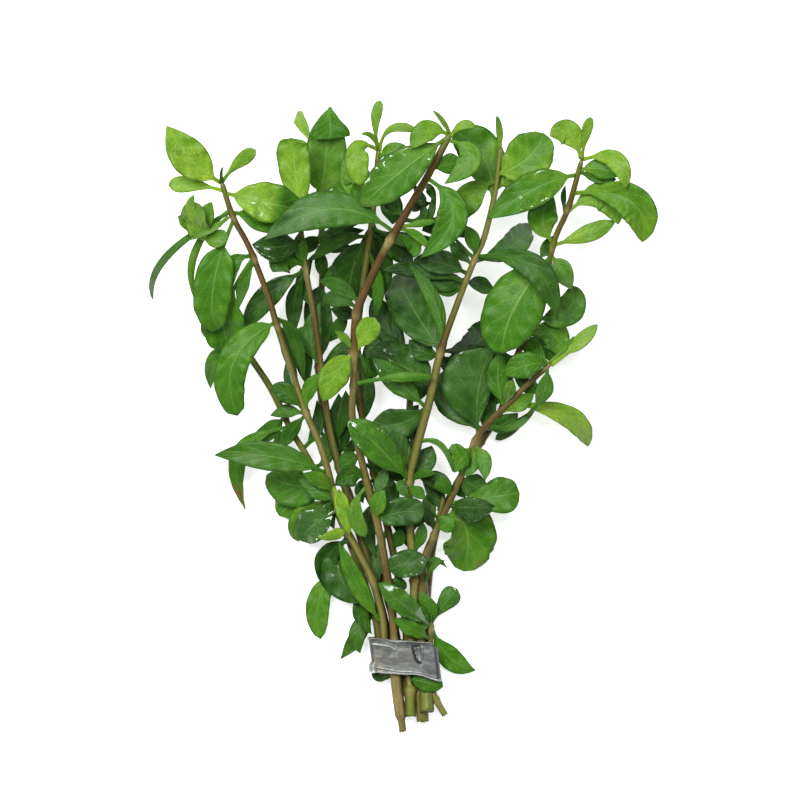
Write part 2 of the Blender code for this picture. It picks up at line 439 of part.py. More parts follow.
def strip_outline(quarter, share, width, height, corner):
    """A point on the strip's rounded outline, a share of the way round one of its four corners."""
    angle = (quarter + share) * math.pi / 2.0
    centre_x = (width / 2.0 - corner) * (1.0 if quarter in (0, 3) else -1.0)
    centre_z = height / 2.0 + (height / 2.0 - corner) * (1.0 if quarter in (0, 1) else -1.0)
    return centre_x + corner * math.cos(angle), centre_z + corner * math.sin(angle)


def make_strip(collection, cutters, material):
    """The flattened band of metal, with the lapped end on its upper side."""
    skew = Matrix.Identity(3)
    skew[0][1] = -STRIP_LEAN
    skew[1][0] = -STRIP_SLOPE
    skew = skew.to_4x4()
    sides = STRIP_CORNER_STEPS * 4 + 4
    form = bmesh.new()
    bmesh.ops.create_cone(form, cap_ends=False, segments=sides, radius1=1.0, radius2=1.0, depth=1.0)
    rim = sorted(
        (v for v in form.verts if v.co.z < 0.0),
        key=lambda v: math.atan2(v.co.y, v.co.x) % (2.0 * math.pi))
    far_rim = sorted(
        (v for v in form.verts if v.co.z > 0.0),
        key=lambda v: math.atan2(v.co.y, v.co.x) % (2.0 * math.pi))
    steps = STRIP_CORNER_STEPS + 1
    for index in range(sides):
        quarter, step = divmod(index, steps)
        share = step / STRIP_CORNER_STEPS
        x, z = strip_outline(quarter, share, STRIP_WIDTH, STRIP_HEIGHT, STRIP_CORNER)
        rim[index].co = (x * MM, STRIP_DEPTH / 2.0 * MM, z * MM)
        far_rim[index].co = (x * MM, -STRIP_DEPTH / 2.0 * MM, z * MM)
    bmesh.ops.transform(form, matrix=skew, verts=form.verts)
    mesh = bpy.data.meshes.new("metal_strip")
    form.to_mesh(mesh)
    form.free()
    band = add_object("metal_strip", mesh, collection, material)
    wall = band.modifiers.new("wall", "SOLIDIFY")
    wall.thickness = STRIP_WALL * MM
    wall.offset = -1.0
    lap_form = bmesh.new()
    bmesh.ops.create_cube(lap_form, size=1.0)
    lap_size = Vector((LAP_WIDTH, STRIP_DEPTH * LAP_SHARE, 2.0 * LAP_THICKNESS)) * MM
    bmesh.ops.scale(lap_form, vec=lap_size, verts=lap_form.verts)
    bmesh.ops.translate(lap_form, vec=Vector((LAP_X, 0.0, STRIP_HEIGHT)) * MM, verts=lap_form.verts)
    bmesh.ops.transform(lap_form, matrix=skew, verts=lap_form.verts)
    lap_mesh = bpy.data.meshes.new("lap")
    lap_form.to_mesh(lap_mesh)
    lap_form.free()
    lap = add_object("lap", lap_mesh, cutters, material)
    fuse(band, lap)
    return band


def leaf_finish(leaf, finishes):
    """Young leaves stand high in the bunch, old ones lie low."""
    if leaf.middle[2] > YOUNG_HEIGHT:
        return finishes["young leaf"]
    if leaf.middle[2] < OLD_HEIGHT:
        return finishes["old leaf"]
    return finishes["leaf"]


def main():
    """Build the whole bunch."""
    clear_scene()
    pieces = new_collection("hygrophila_bunch")
    cutters = new_collection("fused_parts")
    finishes = {
        "young leaf": surface("young leaf", LEAF_ROUGHNESS),
        "leaf": surface("leaf", LEAF_ROUGHNESS),
        "old leaf": surface("old leaf", LEAF_ROUGHNESS),
    }
    bark = surface("stem", STEM_ROUGHNESS)
    metal = surface("metal", METAL_ROUGHNESS, 1.0)
    stems = {}
    for letter in STEMS:
        stems[letter] = make_stem(letter, pieces, bark)
    for leaf in LEAVES:
        make_leaf(leaf, "leaf_" + leaf.name, pieces, leaf_finish(leaf, finishes), True)
    for number, leaf in enumerate(SMALL_LEAVES):
        name = "small_leaf_" + leaf.stem + str(number)
        small = make_leaf(leaf, name, cutters, leaf_finish(leaf, finishes), False)
        fuse(stems[leaf.stem], small)
    make_strip(pieces, cutters, metal)


main()
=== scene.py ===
"""Dress the bunch of cut hygrophila stems with finer leaves, stems and metal strip.

Lengths in the tables are in millimetres, as on the part. Heights are above the
surface the bunch lies on.
"""

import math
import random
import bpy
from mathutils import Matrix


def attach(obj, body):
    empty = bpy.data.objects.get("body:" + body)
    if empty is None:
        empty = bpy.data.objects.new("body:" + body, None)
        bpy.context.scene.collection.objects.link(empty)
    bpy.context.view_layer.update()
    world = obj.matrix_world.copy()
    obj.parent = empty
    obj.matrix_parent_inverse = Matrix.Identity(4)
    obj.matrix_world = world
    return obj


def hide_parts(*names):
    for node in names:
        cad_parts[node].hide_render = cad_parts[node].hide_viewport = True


bl_info = {
    "name": "Bunched hygrophila",
    "version": (1, 0, 0),
    "blender": (4, 5, 0),
    "location": "3D View > Sidebar > Hygrophila",
    "description": "Builds a bunch of cut hygrophila stems bound with a soft metal strip",
    "category": "Add Mesh",
}

from collections import namedtuple

import bmesh
import bpy
from mathutils import Matrix, Vector, noise

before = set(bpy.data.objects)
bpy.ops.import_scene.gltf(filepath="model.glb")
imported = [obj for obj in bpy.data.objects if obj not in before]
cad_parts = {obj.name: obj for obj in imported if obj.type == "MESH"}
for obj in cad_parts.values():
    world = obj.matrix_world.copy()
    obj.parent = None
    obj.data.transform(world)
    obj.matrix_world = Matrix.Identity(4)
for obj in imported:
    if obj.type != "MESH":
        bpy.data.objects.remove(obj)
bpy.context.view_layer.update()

MM = 0.001
BODY = "root"

# Names of the surface values that the pieces carry for their materials
LIGHT = "light"
# The grey value paints a sheen that stands in for the reflection of the light
PAINTED_SHEEN = "grey"
WET = "wet"
DECAY = "decay"
BROWN = "brown"
GREEN = "green"
PALE = "pale"
PAINTED_LIGHT = "painted_light"
FIBRE_AND_TOP_LIGHT = "fibre_and_top_light"
BLADE_VALUES = (LIGHT, PAINTED_SHEEN, WET, DECAY)
STEM_VALUES = (BROWN, GREEN, PALE, FIBRE_AND_TOP_LIGHT)

# Names of a blade's chart and of the weights that thicken its midrib
BLADE_MAP = "blade"
RIB = "rib"

# How a leaf's width grows from its stalk and closes at its tip, and the share
# of its length that is bare stalk
Outline = namedtuple("Outline", "grow close stalk")
LANCE = Outline(0.95, 1.0, 0.1)
OVAL = Outline(0.95, 0.8, 0.08)
SPOON = Outline(1.5, 0.6, 0.05)
RIBBON = Outline(0.45, 0.6, 0.12)
STALKED = Outline(0.75, 0.8, 0.3)
BLUNT = Outline(0.6, 0.56, 0.06)
SHIELD = Outline(1.2, 0.56, 0.1)
FAN = Outline(0.9, 0.1, 0.0)
HOOD = Outline(0.35, 0.56, 0.2)
BLOCK = Outline(0.36, 0.34, 0.05)

# How a blade looks: 0 dark to 1 light, partly painted shade for blades deep between the
# stems; a painted grey sheen that stands in for the light's reflection; wetness; decay at
# the tip; and how much darker it gets past its middle, painted shade where the blade turns
# away from the light, and painted light where the value is below 0
Look = namedtuple("Look", "light grey wet decay fade", defaults=(0.0, 0.0))

# A leaf: its root, a point half way along its midrib, its tip, its width, its
# outline, its look, and how far its blade leans to one side of the midrib. The
# root is a stem's letter and the height y of the joint there, or a point
Leaf = namedtuple("Leaf", "root middle tip width outline look lean", defaults=(0.0,))

# A stem: its radius at the foot and at the tip, and its route
Stem = namedtuple("Stem", "foot_radius tip_radius route")

# Stem routes from the tip to the cut end: x, y, z and 1 where a leaf joint swells
STEMS = {
    "a": Stem(1.35, 0.85, (
        (-57.5, 150.5, 36.2, 0), (-54.0, 139.5, 34.0, 1), (-50.0, 132.0, 32.6, 0),
        (-47.5, 126.5, 31.5, 1), (-42.8, 114.0, 28.8, 0), (-40.3, 105.5, 27.0, 1),
        (-36.0, 92.0, 24.0, 0), (-31.2, 77.8, 20.5, 1), (-26.0, 65.5, 18.0, 0),
        (-20.4, 45.0, 13.5, 0), (-15.4, 34.8, 11.4, 0), (-10.3, 24.5, 9.5, 1),
        (-7.3, 14.0, 7.8, 0), (-6.4, 6.0, 7.3, 0), (-6.1, -5.6, 7.1, 0))),
    "b": Stem(1.45, 0.8, (
        (14.5, 165.0, 46.0, 0), (7.6, 152.0, 43.8, 0), (-4.4, 131.5, 39.0, 1),
        (-11.0, 118.5, 35.4, 0), (-14.8, 109.0, 33.0, 1), (-15.7, 96.4, 29.8, 1),
        (-16.1, 86.0, 27.0, 1), (-16.2, 75.0, 24.0, 0), (-12.9, 60.0, 20.0, 0),
        (-8.5, 42.5, 15.5, 0), (-5.9, 29.0, 12.0, 0), (-5.0, 23.0, 10.6, 1),
        (-3.6, 12.0, 8.0, 0), (-3.0, 4.0, 7.4, 0), (-2.5, -8.0, 7.4, 0),
        (-1.1, -19.0, 7.0, 0), (-0.4, -24.0, 6.8, 0))),
    "c": Stem(1.5, 0.8, (
        (30.3, 161.0, 40.0, 0), (28.6, 147.0, 37.5, 0), (25.3, 133.0, 34.8, 0),
        (22.3, 126.0, 33.5, 1), (17.0, 112.5, 30.5, 0), (11.6, 97.0, 27.0, 1),
        (8.2, 82.0, 23.3, 0), (4.6, 68.6, 20.0, 0), (1.7, 55.5, 16.5, 1),
        (2.0, 39.5, 12.0, 0), (3.3, 24.0, 9.2, 1), (2.4, 8.0, 7.4, 0),
        (1.3, -5.0, 7.4, 0), (1.9, -11.0, 7.4, 1), (2.0, -19.2, 7.0, 0))),
    "d": Stem(1.35, 0.85, (
        (55.7, 157.0, 42.0, 0), (51.6, 142.0, 38.0, 1), (46.8, 130.0, 34.0, 1),
        (43.4, 110.0, 27.2, 0), (38.9, 102.4, 24.0, 1), (34.6, 92.5, 19.3, 0),
        (32.8, 84.5, 15.8, 0), (30.0, 76.5, 12.4, 0), (24.5, 68.0, 9.0, 1),
        (17.0, 55.0, 5.6, 0), (10.6, 41.0, 4.4, 0), (7.8, 24.0, 3.4, 0),
        (7.0, 6.0, 3.4, 0), (7.0, -8.0, 5.4, 0), (7.3, -17.6, 7.4, 0))),
    "e": Stem(1.45, 0.9, (
        (46.4, 93.0, 25.0, 1), (38.9, 86.3, 22.6, 0), (32.6, 80.0, 20.4, 0),
        (27.2, 74.8, 18.7, 0), (22.5, 68.6, 16.8, 1), (18.0, 57.0, 14.0, 0),
        (13.8, 47.6, 12.0, 0), (9.6, 38.5, 10.4, 1), (6.4, 30.0, 9.3, 0),
        (5.5, 14.0, 7.6, 0), (5.2, 4.0, 7.3, 0), (4.9, -5.0, 6.8, 0),
        (4.9, -11.0, 5.2, 0), (6.0, -20.8, 4.2, 0))),
    "f": Stem(1.25, 0.95, (
        (-49.5, 96.0, 14.0, 1), (-42.0, 84.5, 13.0, 0), (-36.0, 72.0, 11.4, 1),
        (-30.6, 63.0, 10.0, 0), (-22.0, 47.0, 7.0, 1), (-14.4, 28.0, 4.8, 0),
        (-9.2, 12.0, 3.3, 0), (-8.0, 2.0, 3.0, 0), (-7.7, -5.4, 3.0, 0))),
    "g": Stem(1.25, 0.85, (
        (-33.6, 143.0, 24.2, 0), (-31.2, 123.0, 20.0, 1), (-28.6, 108.0, 16.8, 0),
        (-26.4, 92.0, 14.0, 1), (-24.3, 76.0, 11.6, 0), (-20.8, 60.0, 9.1, 1),
        (-14.4, 39.0, 6.2, 0), (-7.2, 15.0, 3.5, 0), (-5.0, 3.0, 3.0, 0),
        (-5.0, -6.8, 3.0, 0))),
    "h": Stem(1.2, 0.85, (
        (-28.0, 161.0, 9.0, 0), (-26.2, 134.0, 6.5, 1), (-26.3, 116.0, 5.6, 0),
        (-27.4, 92.0, 4.8, 1), (-24.0, 70.0, 4.0, 0), (-15.4, 46.0, 3.2, 1),
        (-6.6, 22.0, 3.0, 0), (-2.1, 4.0, 3.0, 0), (-2.2, -12.0, 3.0, 0))),
    "i": Stem(1.25, 1.0, (
        (2.6, 92.0, 12.0, 1), (1.2, 66.0, 8.0, 1), (2.0, 40.0, 5.0, 0),
        (3.4, 20.0, 3.4, 0), (3.9, 6.0, 3.0, 0), (3.9, -11.5, 3.0, 0))),
    "j": Stem(1.0, 0.7, (
        (12.6, 51.0, 8.6, 0), (10.2, 40.0, 7.3, 1), (7.1, 30.0, 6.2, 0),
        (6.6, 24.0, 6.0, 0), (7.7, 14.0, 5.7, 0), (8.5, 9.0, 6.3, 1), (8.3, 0.0, 6.3, 0),
        (9.2, -11.0, 6.2, 0), (10.2, -14.0, 6.0, 1), (13.0, -18.9, 5.2, 0))),
    "k": Stem(1.25, 0.85, (
        (-8.0, 161.0, 27.0, 0), (-10.0, 140.0, 23.0, 1), (-13.0, 118.0, 18.4, 0),
        (-15.0, 98.0, 14.6, 1), (-13.6, 78.0, 11.0, 0), (-9.6, 58.0, 7.6, 1),
        (-4.6, 38.0, 5.0, 0), (-0.6, 18.0, 3.2, 0), (0.9, 4.0, 3.0, 0),
        (0.8, -13.0, 3.0, 0))),
}

# The larger leaves, each a piece of its own
LEAVES = {
    "a1": Leaf(("a", 150.0), (-66.8, 156.9, 41.0), (-74.4, 167.4, 43.0), 11.6, LANCE, Look(0.82, 0.05, 0.5)),
    "a2": Leaf(("a", 146.3), (-44.0, 143.7, 38.6), (-31.5, 141.0, 34.0), 12.9, OVAL,
               Look(0.76, 0.05, 0.4, 0, 0.5)),
    "a3": Leaf(("a", 138.2), (-60.2, 117.2, 31.0), (-59.0, 103.5, 24.0), 12.4, HOOD, Look(0.5, 0.1, 0.2)),
    "a4": Leaf(("a", 126.0), (-56.5, 109.5, 24.0), (-54.8, 97.6, 15.5), 14.0, STALKED,
               Look(0.48, 0, 0.1, 0.2)),
    "a5": Leaf(("a", 106.0), (-53.8, 93.5, 30.0), (-52.7, 76.6, 22.0), 10.2, BLOCK,
               Look(0.5, 0.05, 0.2, 0.12)),
    "a6": Leaf(("a", 78.2), (-29.4, 85.0, 24.0), (-24.3, 90.0, 26.0), 4.8, LANCE, Look(0.52, 0.05, 0)),
    "a7": Leaf(("a", 58.5), (-41.0, 63.6, 22.0), (-60.2, 64.0, 20.0), 9.4, LANCE, Look(0.44, 0.65, 0.1)),
    "a8": Leaf(("a", 46.5), (-28.0, 42.4, 12.6), (-33.6, 37.2, 9.0), 11.4, OVAL, Look(0.28, 0.55, 1)),
    "a9": Leaf(("a", 11.0), (-14.3, 22.0, 12.6), (-20.8, 36.5, 15.6), 5.8, LANCE, Look(0.5, 0.05, 0.1)),
    "b1": Leaf(("b", 163.4), (-1.0, 153.0, 49.5), (-13.6, 142.3, 46.5), 13.4, OVAL, Look(0.56, 0.25, 0.9)),
    "b2": Leaf(("b", 151.0), (15.3, 139.5, 44.5), (5.0, 126.0, 42.0), 10.0, LANCE, Look(0.45, 0.1, 0.2)),
    "b3": Leaf(("b", 134.0), (-23.0, 141.2, 44.5), (-44.0, 131.6, 40.5), 12.0, LANCE,
               Look(0.41, 0.85, 0.2, 0, 0.1)),
    "b4": Leaf(("b", 95.5), (-20.8, 90.6, 33.0), (-25.5, 81.0, 31.0), 9.4, OVAL, Look(0.74, 0, 0.2)),
    "b5": Leaf(("b", 43.5), (-0.6, 46.0, 18.4), (6.4, 45.6, 17.6), 9.0, BLOCK, Look(0.21, 0.6, 0.3)),
    "b6": Leaf(("b", 27.2), (1.0, 29.4, 14.2), (6.8, 28.4, 14.2), 9.0, BLOCK, Look(0.22, 0.55, 0.7)),
    "c1": Leaf(("c", 145.0), (24.8, 158.0, 34.0), (15.2, 166.4, 36.0), 13.6, BLUNT,
               Look(0.58, 0.1, 0.1, 0.1, 0.1)),
    "c2": Leaf(("c", 152.5), (38.2, 157.4, 41.8), (43.8, 165.0, 40.5), 14.6, BLUNT,
               Look(0.66, 0.05, 0.1, 0.2, 0.1)),
    "c3": Leaf(("c", 150.0), (20.8, 145.6, 36.4), (17.2, 137.0, 35.5), 9.0, OVAL, Look(0.62, 0.05, 0.1)),
    "c4": Leaf(("c", 125.2), (33.4, 130.0, 22.0), (39.6, 138.0, 0.5), 8.6, OVAL, Look(0.34, 0.1, 0.2)),
    "c5": Leaf(("c", 126.8), (40.4, 123.0, 42.5), (48.2, 106.4, 37.0), 8.6, LANCE, Look(0.25, 0.3, 0.2)),
    "c6": Leaf(("c", 97.0), (3.6, 109.4, 19.0), (-2.6, 121.4, 0.5), 14.0, BLUNT, Look(0.19, 0.5, 0.1)),
    "c7": Leaf(("c", 86.5), (0.0, 92.0, 16.0), (-10.6, 97.5, 13.5), 14.5, BLUNT, Look(0.26, 0.35, 0.8)),
    "c8": Leaf(("c", 56.0), (-8.0, 66.5, 26.5), (-17.8, 75.0, 29.0), 10.5, OVAL, Look(0.47, 0.05, 1)),
    "d1": Leaf(("d", 157.0), (51.6, 164.6, 45.0), (45.6, 163.9, 46.0), 8.4, OVAL, Look(0.8, 0.15, 0.1)),
    "d2": Leaf(("d", 157.0), (65.8, 156.4, 49.0), (69.2, 147.4, 49.0), 6.2, OVAL, Look(0.8, 0.2, 0.1)),
    "d3": Leaf(("d", 152.0), (41.0, 147.6, 44.5), (26.2, 138.2, 42.5), 11.2, LANCE,
               Look(0.56, 0.1, 0.6, 0, 0.1)),
    "d4": Leaf(("d", 146.5), (70.8, 143.8, 46.5), (74.6, 131.0, 41.0), 11.2, OVAL,
               Look(0.61, 0.1, 0.2, 0, -0.13)),
    "d5": Leaf(("d", 141.0), (62.0, 145.4, 39.5), (67.2, 136.6, 38.0), 9.5, OVAL, Look(0.7, 0.15, 0.1)),
    "d6": Leaf(("d", 130.5), (57.7, 133.9, 34.5), (66.3, 137.7, 34.5), 5.6, OVAL, Look(0.76, 0.05, 0.1)),
    "d7": Leaf(("d", 131.0), (43.6, 138.3, 37.0), (46.8, 145.6, 39.5), 9.6, OVAL,
               Look(0.6, 0.2, 0.1, 0, 0.25)),
    "d8": Leaf(("d", 126.5), (34.6, 110.6, 35.5), (30.8, 96.2, 31.0), 18.6, BLUNT, Look(0.5, 0.05, 0.3)),
    "d9": Leaf(("d", 107.5), (51.6, 109.6, 26.5), (53.2, 117.6, 27.5), 9.6, BLUNT, Look(0.53, 0.35, 0.3)),
    "d10": Leaf(("d", 102.3), (46.6, 102.2, 23.0), (49.6, 95.4, 21.0), 9.6, OVAL, Look(0.56, 0.1, 0.6)),
    "e1": Leaf(("e", 80.6), (51.9, 76.3, 13.0), (58.8, 66.7, 0.5), 7.2, OVAL, Look(0.86, 0.3, 0.1, 0.15)),
    "e2": Leaf(("e", 70.5), (23.6, 85.0, 18.5), (27.6, 97.6, 20.5), 17.0, OVAL,
               Look(0.25, 0.5, 0.5), lean=-0.5),
    "e3": Leaf(("e", 49.0), (27.0, 50.6, 17.0), (36.6, 52.0, 15.5), 11.5, SHIELD, Look(0.46, 0.15, 0.35)),
    "e4": Leaf(("e", 44.5), (19.7, 40.2, 8.0), (19.0, 26.8, 0.5), 17.6, BLUNT, Look(0.58, 0.1, 0.1, 0.2)),
    "f1": Leaf(("f", 73.0), (-52.0, 64.5, 9.0), (-50.9, 46.8, 0.5), 5.8, LANCE, Look(0.5, 0.1, 0.1, 0.34)),
    "f2": Leaf(("f", 57.5), (-33.5, 54.0, 6.0), (-44.0, 57.5, 1.0), 14.0, BLUNT, Look(0.5, 0.1, 0.2)),
    "f3": Leaf(("f", 37.5), (-21.0, 27.5, 8.5), (-14.0, 16.8, 8.0), 12.0, OVAL, Look(0.24, 0.25, 1)),
    "f4": Leaf(("f", 24.5), (-25.8, 20.8, 2.6), (-26.7, 5.1, 0.5), 7.7, SHIELD, Look(0.57, 0.05, 0.1, 0.1)),
    "g1": Leaf(("g", 142.5), (-34.8, 157.4, 27.0), (-35.2, 164.0, 29.0), 10.6, BLOCK, Look(0.72, 0.05, 0.1)),
    "g2": Leaf(("g", 122.5), (-43.0, 114.6, 21.0), (-51.6, 103.0, 17.0), 7.5, LANCE, Look(0.18, 0.25, 0.7)),
    "h1": Leaf(("h", 147.0), (-24.9, 158.0, 14.0), (-24.6, 172.0, 18.0), 13.5, BLUNT, Look(0.61, 0.45, 0.1)),
    "j1": Leaf(("j", 9.4), (0.4, 16.2, 18.4), (-8.0, 23.6, 18.4), 7.4, OVAL, Look(0.46, 0.1, 0.9)),
    "j2": Leaf(("j", 8.6), (14.3, -0.9, 2.4), (22.8, -4.9, 0.5), 7.3, LANCE, Look(0.47, 0, 0.1, 0.1)),
    "k1": Leaf(("k", 160.5), (-14.4, 160.4, 33.0), (-13.6, 149.0, 33.0), 7.6, SHIELD, Look(0.78, 0, 0.1)),
    "k2": Leaf(("k", 142.0), (-14.4, 149.5, 20.6), (-19.0, 158.0, 19.0), 10.0, OVAL, Look(0.6, 0.05, 0.1)),
}

